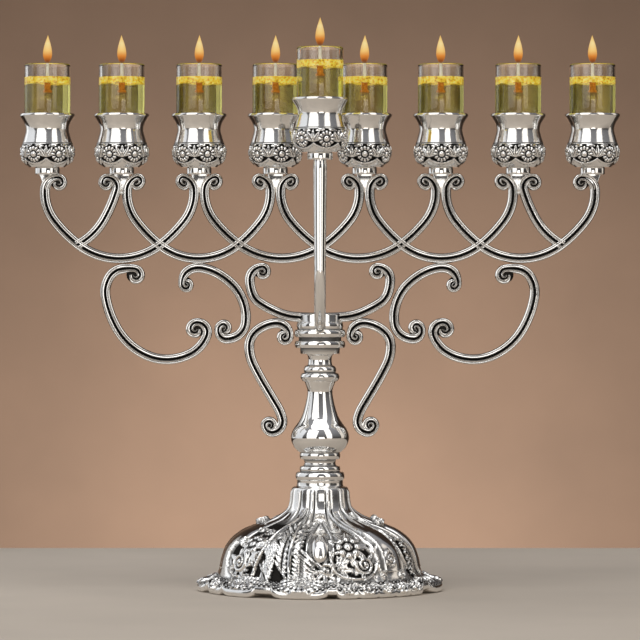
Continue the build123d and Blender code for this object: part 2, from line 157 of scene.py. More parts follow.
def apply_modifier(piece, kind, **settings):
    pick(piece)
    modifier = piece.modifiers.new(kind, kind)
    for name, value in settings.items():
        setattr(modifier, name, value)
    bpy.ops.object.modifier_apply(modifier=modifier.name)


def spun(name, profile, steps=96, closed=True):
    """A turned piece: an (r, z) profile spun round the upright axis. 'along' is each point's place in the profile."""
    count = len(profile)
    edges = [(i, i + 1) for i in range(count - 1)]
    if closed:
        edges.append((count - 1, 0))
    piece = mesh_piece(name, [(r, 0, z) for r, z in profile], edges)
    mark(piece, "along", range(count))
    edit_all(piece, (bpy.ops.mesh.spin, {"steps": steps, "angle": TURN, "center": (0, 0, 0), "axis": (0, 0, 1)}),
             (bpy.ops.mesh.remove_doubles, {"threshold": 1e-6}),
             (bpy.ops.mesh.normals_make_consistent, {"inside": False}))
    return piece


# ---------------------------------------------------------------- lines
def bulged(stations, facet=0.9):
    """A profile from (r, z) or (r, z, bulge) stations, where the bulge rounds the run that ends there."""
    profile = [tuple(stations[0][:2])]
    for start, end in zip(stations, stations[1:]):
        bulge = end[2] if len(end) > 2 else 0.0
        run = math.dist(start[:2], end[:2])
        parts = max(1, round(run / facet)) if bulge else 1
        normal = ((end[1] - start[1]) / run, (start[0] - end[0]) / run)
        for part in range(1, parts + 1):
            t = part / parts
            swell = 4 * t * (1 - t) * bulge
            profile.append(tuple(a + (b - a) * t + swell * n for a, b, n in zip(start, end, normal)))
    return profile


def flowing(points, spacing):
    """A smooth line through the points (Catmull-Rom), cut into even steps."""
    points = np.array(points, float)
    padded = np.vstack([2 * points[0] - points[1], points, 2 * points[-1] - points[-2]])
    t = np.linspace(0, 1, 40, endpoint=False)[:, None]
    runs = []
    for a, b, c, d in zip(padded, padded[1:], padded[2:], padded[3:]):
        runs.append(b + 0.5 * t * (c - a + t * (2 * a - 5 * b + 4 * c - d + t * (3 * (b - c) + d - a))))
    fine = np.vstack(runs + [points[-1:]])
    lengths = np.concatenate([[0], np.cumsum(np.linalg.norm(np.diff(fine, axis=0), axis=1))])
    even = np.linspace(0, lengths[-1], max(2, round(lengths[-1] / spacing)) + 1)
    return list(zip(*(np.interp(even, lengths, column) for column in fine.T)))


def arc_stations(points, heading):
    """Tangent arcs through the points from a first heading: [(x, z, heading)] in radians."""
    angle = heading
    stations = []
    for start, end in zip(points, points[1:]):
        chord = math.dist(start, end)
        toward = math.atan2(end[1] - start[1], end[0] - start[0])
        half_turn = (toward - angle + math.pi) % TURN - math.pi
        length = chord * half_turn / math.sin(half_turn) if abs(half_turn) > 1e-6 else chord
        count = max(2, math.ceil(length / STATION_GAP), math.ceil(abs(2 * half_turn) / STATION_TURN))
        for step in range(count):
            t = step / count
            reach = chord * math.sin(half_turn * t) / math.sin(half_turn) if abs(half_turn) > 1e-6 else chord * t
            way = angle + half_turn * t
            stations.append((start[0] + reach * math.cos(way), start[1] + reach * math.sin(way),
                             angle + 2 * half_turn * t))
        angle += 2 * half_turn
    stations.append((*points[-1], angle))
    return stations


# ---------------------------------------------------------------- reeded bars
# Half of a bar's face, from its central groove to its edge: share of the half width, height, darkness.
REEDS = [
    (0.00, 0.75, 1.0), (0.09, 0.90, 1.0), (0.17, 1.40, 0.9), (0.23, 1.82, 0.25), (0.31, 2.07, 0.0),
    (0.40, 2.10, 0.0), (0.48, 1.97, 0.0), (0.55, 1.74, 0.1), (0.61, 1.46, 0.8), (0.67, 1.60, 0.1),
    (0.76, 1.74, 0.0), (0.85, 1.62, 0.0), (0.92, 1.27, 0.0), (0.97, 0.75, 0.35), (1.0, 0.3, 0.75),
]
# Widths in a volute of radius 1, after each quarter turn: outer half, inner half, and the path's own radius.
VOLUTE = [(0.41, 0.37, 0.57), (0.49, 0.31, 0.52), (0.58, 0.19, 0.30), (0.30, 0.13, 0.18)]


def rolled_end(stations, eye):
    """Carries a bar on round its volute's eye (x, z, radius). Stations become (x, z, heading, left, right)."""
    x, z, heading = stations[-1]
    centre_x, centre_z, radius = eye
    hand = 1 if (x - centre_x) * math.sin(heading) - (z - centre_z) * math.cos(heading) > 0 else -1
    first = math.atan2(z - centre_z, x - centre_x)
    points = [(x, z)]
    for quarter, (outer, inner, reach) in enumerate(VOLUTE[1:], 1):
        angle = first + hand * quarter * math.pi / 2
        points.append((centre_x + radius * reach * math.cos(angle), centre_z + radius * reach * math.sin(angle)))
    outers = [radius * outer for outer, inner, reach in VOLUTE]
    inners = [radius * inner for outer, inner, reach in VOLUTE]
    away = [0.0]
    for here, after in zip(reversed(stations[:-1]), reversed(stations)):
        away.append(away[-1] + math.dist(here[:2], after[:2]))
    widths = []
    for distance in reversed(away):
        ease = min(1.0, distance / TAPER_RUN)
        ease = ease * ease * (3 - 2 * ease)
        widths.append([row[0] + (BAR_HALF_WIDTH - row[0]) * ease for row in (outers, inners)])
    spiral = arc_stations(points, heading)[1:]
    gone, last = 0.0, first
    for x, z, way in spiral:
        angle = math.atan2(z - centre_z, x - centre_x)
        gone += abs(math.remainder(angle - last, TURN)) / (math.pi / 2)
        last = angle
        widths.append([float(np.interp(gone, range(4), row)) for row in (outers, inners)])
    if hand > 0:
        widths = [(inner, outer) for outer, inner in widths]
    return [(*station, *pair) for station, pair in zip(list(stations) + spiral, widths)]


def reversed_path(stations):
    return [(x, z, way + math.pi, right, left) for x, z, way, left, right in reversed(stations)]


def mirrored_path(stations, middle=0.0):
    return [(2 * middle - x, z, math.pi - way, right, left) for x, z, way, left, right in stations]


def mirrored_eye(eye, middle=0.0):
    return 2 * middle - eye[0], eye[1], eye[2]


def reed_ring(x, z, way, left, right):
    """One cross-section of a bar, as (x, y, z) points round it, and their darkness."""
    across, up = -math.sin(way), math.cos(way)
    half = [(left * share, height, dark) for share, height, dark in reversed(REEDS)]
    half += [(-right * share, height, dark) for share, height, dark in REEDS[1:]]
    ring = half + [(side, -height, dark) for side, height, dark in reversed(half)]
    return [(x + side * across, -height, z + side * up) for side, height, dark in ring], [dark for *_, dark in ring]


def reeded_bar(name, path):
    points, dark = [], []
    for station in path:
        ring, ring_dark = reed_ring(*station)
        points += ring
        dark += ring_dark
    size = len(ring)
    faces = []
    for row in range(len(path) - 1):
        for k in range(size):
            a, b = row * size + k, row * size + (k + 1) % size
            faces.append((a, b, b + size, a + size))
    faces.append(tuple(reversed(range(size))))
    faces.append(tuple(range(len(points) - size, len(points))))
    piece = mesh_piece(name, points, faces=faces)
    mark(piece, "hollow", dark)
    edit_all(piece, (bpy.ops.mesh.normals_make_consistent, {"inside": False}))
    return piece


def eye_button(name, eye):
    """The sunk blackened floor of a volute."""
    x, z, radius = eye
    deselect()
    bpy.ops.mesh.primitive_uv_sphere_add(segments=24, ring_count=10, radius=0.80 * radius * MM)
    button = bpy.context.object
    button.data.transform(Matrix.Translation((x * MM, 0, z * MM)) @ Matrix.Scale(0.30, 4, (0, 1, 0)))
    button.name = name
    mark(button, "hollow", [1.0] * len(button.data.vertices))
    return button


def voluted_bar(name, path, eyes):
    """A reeded bar with the dark floors of its volutes, as one piece."""
    return join([reeded_bar(name, path)] + [eye_button("eye", eye) for eye in eyes], name)


def scroll(points, heading, first_eye=None, last_eye=None):
    """A bar's path through the points, rolled up round the eyes at its ends."""
    plain = arc_stations(points, math.radians(heading))
    path = rolled_end(plain, last_eye) if last_eye else [(*s, BAR_HALF_WIDTH, BAR_HALF_WIDTH) for s in plain]
    if first_eye:
        back = [(x, z, way + math.pi) for x, z, way in reversed(plain)]
        start = reversed_path(rolled_end(back, first_eye))
        added = len(start) - len(plain)
        head = start[:added]
        body = [(*a[:3], min(a[3], b[3]), min(a[4], b[4])) for a, b in zip(start[added:], path)]
        path = head + body + path[len(plain):]
    return path


# ---------------------------------------------------------------- where things are
def mm_box(node):
    return [tuple(c / MM for c in corner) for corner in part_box(node)]


def cup_axis(cup):
    """(x, y) of a cup, and the heights of its holder's rim, its glass's ledge and its glass's lip."""
    low, high = mm_box(f"{cup}_glass")
    rim = mm_box(f"{cup}_holder")[1][2]
    return (low[0] + high[0]) / 2, (low[1] + high[1]) / 2, rim, rim - LEDGE_DEPTH, high[2]


cup_x = [cup_axis(cup)[0] for cup in CUPS[:8]]
branch_rim = cup_axis("cup_1")[2]
VOLUTE_TOP = branch_rim - HOLDER_HEIGHT - COLLAR_HEIGHT
VOLUTE_EYE = VOLUTE_TOP + SEAT_CUT - VOLUTE_RADIUS
BRANCH_TOP = VOLUTE_EYE - VOLUTE_RISE
HALF_PAIR = BAR_HALF_WIDTH + PAIR_GAP / 2


def half_branch(middle, shoulder, inset):
    """The left half of a hanging branch, from its lowest point out to its shoulder and round its volute."""
    reach = middle - shoulder
    shape = [(0.0, 1.0), (0.55, 0.80), (0.875, 0.45), (1.0, 0.0)]
    points = [(middle - reach * u, BRANCH_TOP - BRANCH_DROP * v) for u, v in shape]
    eye = (shoulder + inset, VOLUTE_EYE, VOLUTE_RADIUS)
    points.append((eye[0], VOLUTE_EYE + VOLUTE[0][2] * VOLUTE_RADIUS))
    return scroll(points, 180, last_eye=eye), eye


def make_branches():
    pieces = []
    for index in range(6):
        left = cup_x[index] + (HALF_PAIR if index else OUTER_SHIFT)
        right = cup_x[index + 2] - (HALF_PAIR if index < 5 else OUTER_SHIFT)
        middle = (left + right) / 2
        out, left_eye = half_branch(middle, left, VOLUTE_INSET if index else OUTER_CURL)
        back, eye = half_branch(middle, left, VOLUTE_INSET if index < 5 else OUTER_CURL)
        path = reversed_path(out) + mirrored_path(back, middle)[1:]
        node = f"branch_{index + 1}"
        pieces.append((voluted_bar(f"{node}_reeded", path, [left_eye, mirrored_eye(eye, middle)]), [node]))
    return pieces


def make_spurs():
    """The two short bars under the second cup from each end, which hang free."""
    shoulder = cup_x[1] - HALF_PAIR
    eye = (shoulder - VOLUTE_INSET, VOLUTE_EYE, VOLUTE_RADIUS)
    points = [
        (shoulder - 22.5, BRANCH_TOP - 31.5), (shoulder - 7.2, BRANCH_TOP - 17.0), (shoulder, BRANCH_TOP),
        (eye[0], VOLUTE_EYE + VOLUTE[0][2] * VOLUTE_RADIUS),
    ]
    chain = arc_stations([(eye[0], points[-1][1]), *reversed(points[:-1])], 0.0)
    path = rolled_end([(x, z, way + math.pi) for x, z, way in reversed(chain)], eye)
    parts = [voluted_bar("spur", path, [eye]), voluted_bar("spur", mirrored_path(path), [mirrored_eye(eye)])]
    return [(join(parts, "spurs_reeded"), ["branch_spurs"])]


# Each scroll: points along it, first heading, eye at its start, eye at its end. Left side, seen from the front.
SCROLLS = {
    "outer": ([(-105.0, 182.0), (-112.6, 181.8), (-118.9, 177.6), (-121.4, 166.0), (-114.5, 147.3),
               (-97.2, 132.6), (-86.0, 130.6), (-73.4, 133.8), (-64.2, 144.0), (-69.6, 151.6)],
              172, (-105.0, 178.5, 5.8), (-70.1, 147.9, 5.9)),
    "inner": ([(-78.2, 173.5), (-76.3, 179.2), (-72.3, 182.0), (-66.6, 182.3), (-56.5, 178.4), (-50.0, 173.4),
               (-45.5, 167.6), (-42.3, 158.5), (-42.2, 151.0), (-46.2, 144.4), (-52.6, 142.2), (-57.6, 147.0)],
              90, (-76.1, 173.5, 4.9), (-54.9, 147.5, 5.5)),
    "bracket": ([(-17.1, 144.0), (-19.3, 149.0), (-26.0, 151.1), (-35.6, 147.1), (-40.1, 138.0), (-37.6, 127.3),
                 (-31.0, 115.2), (-24.3, 104.0), (-21.4, 96.9), (-26.4, 89.4), (-31.2, 92.4)],
                90, (-19.6, 144.0, 5.3), (-28.6, 92.8, 5.4)),
}
LYRE = ([(0.0, 154.2), (-13.0, 154.6), (-24.0, 157.2), (-33.8, 162.4), (-38.6, 168.6), (-39.8, 175.4),
         (-33.1, 183.1)], 180, (-33.1, 180.6, 5.3))


def make_scrolls():
    pieces = []
    for name, (points, heading, first_eye, last_eye) in SCROLLS.items():
        path = scroll(points, heading, first_eye, last_eye)
        eyes = [first_eye, last_eye]
        for side, route, ends in (("left", path, eyes), ("right", mirrored_path(path), map(mirrored_eye, eyes))):
            node = f"{name}_scroll_{side}"
            pieces.append((voluted_bar(f"{node}_reeded", route, ends), [node]))
    points, heading, eye = LYRE
    half = scroll(points, heading, last_eye=eye)
    path = reversed_path(half) + mirrored_path(half)[1:]
    return pieces + [(voluted_bar("lyre_scroll_reeded", path, [eye, mirrored_eye(eye)]), ["lyre_scroll"])]


# ---------------------------------------------------------------- relief
# Each shape gives its height in millimetres over a flat patch (across, up); BARE is where it isn't.
BARE = -9.0


def dome(share):
    """A half circle: 1 in the middle, and 0 where the share is 1 or more."""
    return np.sqrt(np.clip(1 - share * share, 0, 1))


def ease_in(values, run):
    """0 at and below 0, rising evenly to 1 at the run."""
    return np.clip(values / run, 0, 1)


def rounded(distance, half_width, height):
    """A half-round ridge or dome, by the distance from its middle."""
    share = distance / half_width
    return np.where(share < 1, height * dome(share), BARE)


def blossom(across, up, radius, petals, height=0.9, parting=0.8):
    """A flower: a domed eye in a dark ring, and a round of petals. parting: how wide the gaps between petals are."""
    reach = np.hypot(across, up) / radius
    angle = np.arctan2(up, across)
    split = np.abs(np.cos(petals / 2 * angle))
    outer = 1.0 - 0.12 * (1 - split)
    petal = dome((reach - 0.74) / 0.26) * split ** parting
    petal = np.where((reach > 0.48) & (reach < outer), height * petal, BARE)
    return np.maximum(petal, rounded(reach, 0.38, height * 1.05))


def feathers(across, up, slant, spacing):
    """Fine slanting ridges, from 0 in the lines between them to 1 on their crests."""
    turn = math.radians(slant)
    return np.abs(np.sin(math.pi * (up * math.cos(turn) + np.abs(across) * math.sin(turn)) / spacing)) ** 0.7


def blade(across, up, foot, angle, length, width, height=0.7):
    """A pointed leaf with a sunk vein, from its foot out along the angle in degrees."""
    way = (math.cos(math.radians(angle)), math.sin(math.radians(angle)))
    along = ((across - foot[0]) * way[0] + (up - foot[1]) * way[1]) / length
    aside = np.abs((up - foot[1]) * way[0] - (across - foot[0]) * way[1])
    half = width / 2 * np.sqrt(np.clip(np.sin(math.pi * np.clip(along, 0, 1) ** 0.8), 0, 1)) + 1e-6
    crown = height * (dome(aside / half) - 0.45 * np.exp(-(aside / (0.13 * width)) ** 2))
    return np.where((along > 0) & (along < 1) & (aside < half), crown, BARE)


def fan(across, up, foot, angles, length, width, height=0.7):
    return np.maximum.reduce([blade(across, up, foot, angle, length, width, height) for angle in angles])


def ribbon(across, up, points, half_width, height):
    """A raised line through the points, tapering to its end."""
    best = np.full_like(across, BARE)
    line = flowing(points, half_width)
    for place, (a, b) in enumerate(zip(line, line[1:])):
        near = np.flatnonzero((np.abs(across - a[0]) < 3 * half_width) & (np.abs(up - a[1]) < 3 * half_width))
        run = (b[0] - a[0], b[1] - a[1])
        x, y = across[near] - a[0], up[near] - a[1]
        t = np.clip((x * run[0] + y * run[1]) / (run[0] ** 2 + run[1] ** 2), 0, 1)
        taper = 1 - 0.45 * place / len(line)
        ridge = rounded(np.hypot(x - t * run[0], y - t * run[1]), half_width * taper, height * (0.6 + 0.4 * taper))
        best[near] = np.maximum(best[near], ridge)
    return best


def curl(across, up, radius, hand=1, turns=1.6, start=0.0, height=0.9):
    """A rolled-up scroll: a ridge that winds in to a small domed eye."""
    points = []
    for step in range(26):
        t = step / 25
        angle = math.radians(start) + hand * TURN * turns * t
        reach = radius * (1 - 0.82 * t ** 0.8)
        points.append((reach * math.cos(angle), reach * math.sin(angle)))
    eye = rounded(np.hypot(across, up), radius * 0.2, height)
    return np.maximum(ribbon(across, up, points, radius * 0.23, height), eye)


def darkness(height, low, high):
    """Blackening by height: 1 at or below low, 0 from high up."""
    t = np.clip((high - height) / (high - low), 0, 1)
    return t * t * (3 - 2 * t)


def spread(values, reach):
    """The mean over reach points each way along the last axis, which goes round."""
    return sum(np.roll(values, step, axis=-1) for step in range(-reach, reach + 1)) / (2 * reach + 1)


def crevices(row, angle, relief, steps, reach, depth):
    """Blackening of whatever lies lower than what's round it, on a spun piece: 1 where it's lower by depth."""
    column = np.rint(angle / TURN * steps).astype(int) % steps
    grid = np.zeros((row.max() + 1 + 2 * reach, steps))
    grid[row + reach, column] = relief
    grid[:reach], grid[-reach:] = grid[reach], grid[-reach - 1]
    mean = spread(spread(grid, reach).T, reach).T
    return darkness(relief - mean[row + reach, column], -depth, 0.0)


# ---------------------------------------------------------------- cup holders
ROSETTE_DROP = 23.4
BAND_TOP = -17.3
BAND_RADIUS = 14.2
BAND_LINE = -16.95                    # the blackened line over the band
HOLDER_STEPS = 360


def floral_relief(angle, height):
    """The band of rosettes and leaves round a holder: relief by angle and by height below the rim."""
    sector = math.pi / 3
    near = (angle + math.pi / 2 + sector / 2) % sector - sector / 2
    across, up = near * BAND_RADIUS, height + ROSETTE_DROP
    between = sector / 2 * BAND_RADIUS - np.abs(across)
    relief = blossom(across, up, 4.6, 12, 1.15)
    leaves = fan(between, up, (0.0, -1.8), (90, 60), 7.0, 2.2, 1.1)
    leaves = np.maximum(leaves, fan(between, up, (0.2, -1.2), (20, 38), 5.0, 1.8, 0.8))
    leaves = np.maximum(leaves, blade(between, up, (6.4, 5.2), 186, 5.4, 1.7, 0.8))
    relief = np.maximum(relief, leaves)
    border = -5.3 + 2.7 * np.clip(np.abs(near) / (sector / 2), 0, 1) ** 2.2
    relief = np.maximum(relief, rounded(np.abs(up - border), 0.75, 0.75))
    relief = np.maximum(relief, rounded(np.abs(height - BAND_TOP), 0.5, 0.45))
    in_band = (height < BAND_TOP) & (up > border)
    ground = np.where(in_band, -0.55, 0.0)
    return np.maximum(relief, ground), in_band


def make_holder_blank():
    """A holder with its rim at height 0: bowl, band, waist, flared rim, and inside the ledge and peg socket."""
    outside = flowing([(10.3, -30.4), (11.7, -29.0), (13.2, -26.9), (14.1, -24.4), (14.5, -21.6), (14.2, -18.6),
                       (13.8, -17.0)], 0.3)
    outside += flowing([(14.2, -16.9), (13.2, -13.6), (12.3, -10.2), (12.2, -8.6), (12.9, -5.8), (14.6, -2.9),
                        (15.55, -1.5), (15.6, -0.9)], 0.5)
    outside += [(15.35, -0.25), (14.9, 0.0), (14.2, 0.0), (13.5, -0.3), (13.35, -0.8), (13.3, -LEDGE_DEPTH),
                (6.4, -LEDGE_DEPTH), (6.4, -13.6), (2.05, -13.7), (2.05, -30.4)]
    holder = spun("holder", outside, HOLDER_STEPS)
    points = corners(holder)
    along = marked(holder, "along")
    radius, angle = round_axis(points)
    chased = (points[:, 2] < -16.9) & (radius > 10.2) & (along < 60)
    relief, in_band = floral_relief(angle, points[:, 2])
    relief = np.where(chased, relief, 0.0)
    points[:, :2] *= (1 + relief / np.maximum(radius, 1))[:, None]
    move_corners(holder, points)
    row = np.rint(along).astype(int)
    dark = np.maximum(darkness(relief, -0.35, 0.55), crevices(row, angle, relief, HOLDER_STEPS, 2, 0.18))
    dark = dark * (chased & in_band)
    dark = np.maximum(dark, 0.8 * darkness(np.abs(points[:, 2] - BAND_LINE), 0.1, 0.35) * (radius > 12))
    mark(holder, "hollow", dark)
    return holder


def make_holders():
    blank = make_holder_blank()
    pieces = []
    for cup in CUPS:
        x, y, rim, ledge, lip = cup_axis(cup)
        holder = copy_piece(blank, f"{cup}_chased_holder")
        shift(holder, x, y, rim, ROSETTE_TURNS[cup])
        pieces.append((holder, [f"{cup}_holder"]))
    bpy.data.objects.remove(blank)
    return pieces


# ---------------------------------------------------------------- the foot
FOOT_STEPS = 720
FOOT_SPLIT = 33.0                     # the foot is two pieces, which meet at this height
FLANGE_ROOT = 57.5
FOOT_OUTSIDE = flowing([(13.0, 62.3), (13.0, 60.4), (13.4, 58.9), (15.6, 58.1), (16.3, 55.6), (16.9, 50.0),
                        (18.6, 45.4), (23.5, 41.0), (30.0, 38.0), (37.0, 35.2), (43.0, 32.2), (47.8, 28.6),
                        (51.4, 24.0), (53.6, 18.0), (54.8, 13.0), (57.6, 9.2), (61.4, 6.9), (65.0, 5.7),
                        (66.9, 4.4), (67.4, 2.6), (67.2, 0.7), (66.0, 0.0)], 0.5)
FOOT_INSIDE = [(54.2, 0.0), (53.4, 8.0), (51.4, 17.0), (48.6, 23.5), (44.6, 28.0), (38.0, 31.4), (29.0, 34.6),
               (22.0, 38.0), (17.0, 42.6), (14.9, 48.5), (14.2, 54.5), (13.6, 56.5), (BORE, 56.5), (BORE, 62.3)]
foot_line = np.array(FOOT_OUTSIDE)
foot_run = np.concatenate([[0], np.cumsum(np.linalg.norm(np.diff(foot_line, axis=0), axis=1))])
foot_way = np.gradient(foot_line, axis=0)
foot_way /= np.linalg.norm(foot_way, axis=1)[:, None]


def on_foot(height):
    """How far down the foot's outside a height is, and the radius there."""
    run = float(np.interp(-height, -foot_line[:, 1], foot_run))
    return run, float(np.interp(run, foot_run, foot_line[:, 0]))


def turn_from(angle, degrees):
    """Angle from a direction, with the front repeated on the back."""
    return (angle - math.radians(degrees) + math.pi / 2) % math.pi - math.pi / 2


class Patch:
    """The mesh points round one place on the foot, as flat coordinates: across to the right, up to the neck."""

    def __init__(self, angle, run, degrees, height, reach):
        self.run, self.radius = on_foot(height)
        self.degrees = degrees
        across = turn_from(angle, degrees) * self.radius
        up = self.run - run
        self.near = np.flatnonzero((np.abs(across) < reach) & (np.abs(up) < reach))
        self.across, self.up = across[self.near], up[self.near]

    def line(self, places):
        """Turns (degrees, height) places into this patch's coordinates."""
        return [(math.radians(degrees - self.degrees) * self.radius, self.run - on_foot(height)[0])
                for degrees, height in places]

    def raise_on(self, best, relief):
        best[self.near] = np.maximum(best[self.near], relief)

    def add(self, best, shape, *settings):
        self.raise_on(best, shape(self.across, self.up, *settings))


PANEL = 30                            # degrees from one of the neck's panels to the next
PANEL_EDGE = 10.2
# Smooth lobes from neck to flange: degrees from the front, half width in degrees, relief.
LOBES = [(-76, 15.5, 2.4), (-30, 7.0, 1.3), (-17, 5.5, 1.2), (0, 10.0, 1.0), (21, 13.5, 0.6), (44, 12.0, 2.6),
         (66, 10.5, 0.5), (90, 9.0, 2.4)]
# Round areas that hold ornament on a sunk black ground: degrees, height, half width, half height.
GROUNDS = [(-53, 22, 12.0, 12.5), (-22, 20, 15.0, 17.0), (19, 20, 13.5, 12.0), (2, 14, 6.0, 6.0),
           (67, 21, 7.0, 15.0), (-43, 7, 9.0, 6.5)]


def lobed(angle, height):
    best = np.zeros_like(angle)
    for degrees, half, relief in LOBES:
        away = np.degrees(turn_from(angle, degrees)) / half
        best = np.maximum(best, relief * dome(away))
    fade = ease_in(47 - height, 14) * ease_in(height - 7, 6)
    return best * fade


def from_panel(angle):
    """Degrees from the middle of the nearest of the neck's panels."""
    return np.abs((np.degrees(angle) + PANEL / 2) % PANEL - PANEL / 2)


def fluted_neck(angle, height):
    """Broad flat panels between narrow ribs, which run out on to the dome."""
    away = from_panel(angle)
    rib = rounded(np.abs(away - PANEL / 2), 4.2, 0.9)
    groove = -0.55 * np.exp(-((away - PANEL_EDGE) / 0.9) ** 2)
    fade = ease_in(57.5 - height, 2) * ease_in(height - 34, 8)
    return (np.maximum(rib, 0) + groove) * fade


# Ornament of one side of the foot. Each row starts with degrees from the front and a height.
BURSTS = [                            # then the leaves' length and their number
    (-50, 27.0, 10.5, 8), (-56, 17.0, 9.5, 7), (18, 27.0, 12.5, 9), (27, 16.5, 9.0, 7), (12, 15.0, 8.5, 7),
    (3, 14.0, 7.5, 8),
]
SPRAYS = [                            # then the leaves' angles, length, width and relief
    (-32, 12, (60, 85, 110, 135), 9.0, 2.4, 1.3), (-33, 22, (75, 100, 125), 9.0, 2.4, 1.3),
    (-46, 22, (-100, -70, -40, -5, 25), 6.5, 2.2, 1.2), (-47, 33, (20, 50, 80, 110), 6.5, 2.0, 1.2),
    (-62, 27, (60, 90), 5.5, 2.0, 1.2), (12, 19, (-150, -110, -75, -40), 5.5, 2.2, 1.2),
    (14, 34, (60, 100, 140), 5.5, 2.0, 1.2), (26, 31, (0, 35, 70), 6.0, 2.0, 1.2),
    (36, 12, (-60, -20, 20), 5.0, 2.2, 1.2), (22, 22, (-170, -140, 150), 5.0, 2.0, 1.2),
    (34, 23, (60, 95, 130), 6.0, 2.0, 1.3), (20, 12.5, (10, 40, 75, 110), 4.6, 1.8, 1.2),
    (-52, 13, (15, 50, 85), 5.0, 1.9, 1.2), (-57, 34, (60, 100, 140), 5.0, 1.9, 1.2),
    (-41, 27, (70, 100), 6.0, 2.0, 1.2),
]
FLOWERS = [(-50, 28.0, 6.4, 7, 1.5), (18, 27.0, 7.1, 8, 1.8)]  # then radius, petals and relief
ROLLS = [                             # then radius, hand, turns, first angle and relief
    (-56, 18.0, 6.4, -1, 1.9, 60, 1.6), (-5, 39.0, 2.8, 1, 1.4, 200, 1.5), (4, 14.5, 3.8, -1, 1.5, 120, 1.5),
    (-4, 11.0, 2.6, 1, 1.3, 30, 1.3), (27, 17.5, 5.6, 1, 1.8, 170, 1.7), (45, 19.5, 4.4, 1, 1.9, 100, 1.0),
    (52, 10.5, 3.4, -1, 1.5, 60, 1.5), (-83, 37.5, 3.6, 1, 1.3, 0, 2.8), (83, 37.0, 3.6, 1, 1.3, 180, 2.8),
]
# Rows of leaves down a stem: how many, degrees and their step, height and its drop, then as a spray.
FRONDS = [
    (10, -19, 0, 35, 2.8, (126,), 14.0, 2.3, 1.6), (10, -27, -0.2, 25, 1.9, (120,), 10.5, 2.2, 1.4),
    (6, -17, 0, 36, 2.7, (52,), 9.0, 2.2, 1.5), (9, -16.5, 0, 28, 2.3, (-42,), 16.0, 2.3, 1.6),
    (8, 70, 0, 31, 3.0, (150, 205), 6.5, 1.8, 1.3),
]
# Stems: (degrees, height) places along each, half width, relief.
STEMS = [
    ([(-66, 27), (-68, 20), (-65, 13.5), (-56, 10.0), (-46, 11.5)], 1.1, 1.5),
    ([(-24, 46), (-30, 37), (-37, 27), (-41, 17), (-42, 11)], 1.6, 2.0),
    ([(-18, 41), (-18, 30), (-18, 18), (-17, 8.5)], 1.7, 2.3),
    ([(-2, 39), (-7.5, 32), (-8, 23), (-4, 16), (1, 14)], 0.9, 1.4),
    ([(3, 39), (8, 32), (8, 23), (5, 17)], 0.9, 1.4),
    ([(6, 24), (8, 15), (14, 10.5), (24, 9.5), (32, 12.5), (35, 20), (33, 26)], 1.3, 1.7),
    ([(10, 50), (16, 41), (27, 34), (34, 25), (36, 13)], 1.2, 1.6),
    ([(18, 50), (24, 41), (33, 34), (39, 25), (40, 13)], 0.9, 1.2),
    ([(48, 42), (57, 36.5), (67, 30), (76, 20), (80, 10)], 1.5, 2.2),
    ([(55, 34), (58, 24), (62, 14)], 0.9, 1.2),
]
STEM_REACH = 45


def foot_ornament(angle, run):
    """The raised ornament of one side of the foot, above its ground."""
    best = np.full_like(angle, BARE)

    def spray(degrees, at, angles, length, width, relief):
        Patch(angle, run, degrees, at, length).add(best, fan, (0, 0), angles, length, width, relief)

    for degrees, at, length, count in BURSTS:
        spray(degrees, at, range(0, 360, 360 // count), length, 0.36 * length, 0.9)
    for row in SPRAYS:
        spray(*row)
    for count, degrees, step, at, drop, *leaves in FRONDS:
        for place in range(count):
            spray(degrees + step * place, at - drop * place, *leaves)
    for degrees, at, radius, petals, relief in FLOWERS:
        Patch(angle, run, degrees, at, radius).add(best, blossom, radius, petals, relief, 0.4)
    for degrees, at, radius, *winding in ROLLS:
        Patch(angle, run, degrees, at, 1.3 * radius).add(best, curl, radius, *winding)
    for places, half_width, relief in STEMS:
        spot = Patch(angle, run, *places[len(places) // 2], STEM_REACH)
        spot.add(best, ribbon, spot.line(places), half_width, relief)
    bud = Patch(angle, run, 0, 27, 10)
    bud.raise_on(best, rounded(np.hypot(bud.across / 4.6, bud.up / 9.5), 1.0, 2.8))
    return best


def flange_ornament(angle, run):
    """Shells, small flowers and curls on the flange."""
    best = np.full_like(angle, BARE)
    for degrees, radius, ribs in ((-44, 9.5, 9), (-10, 12.0, 13)):
        spot = Patch(angle, run, degrees, 8.4, radius)
        reach = np.hypot(spot.across, spot.up)
        fanned = np.arctan2(spot.across, -spot.up)
        shell = rounded(reach, radius, 1.8) * 0.8
        shell += np.where(reach < radius, 0.35 * np.cos(fanned * ribs * 1.5) + 0.2 * np.cos(reach * 2.6), 0)
        spot.raise_on(best, np.where(spot.up < 2.5, shell, BARE))
    for degrees, radius, petals in ((14, 3.6, 6), (24, 3.9, 6), (34, 3.4, 5), (44, 3.8, 6), (54, 3.4, 5),
                                    (-63, 3.6, 6)):
        Patch(angle, run, degrees, 5.2, radius).add(best, blossom, radius, petals, 1.8, 0.5)
    for degrees in (9, 19, 29, 39, 49, 59, -56, -70, -29):
        Patch(angle, run, degrees, 7.0, 7.0).add(best, fan, (0, 2.0), (-125, -90, -55), 6.0, 2.0, 1.1)
    for degrees in (66, 73, 80):
        Patch(angle, run, degrees, 6.8, 4.0).add(best, curl, 2.8, 1, 1.4, 90, 1.4)
    Patch(angle, run, -84, 7.0, 12.0).add(best, fan, (0, 4.0), (-118, -90, -62), 11.0, 4.2, 1.8)
    return best


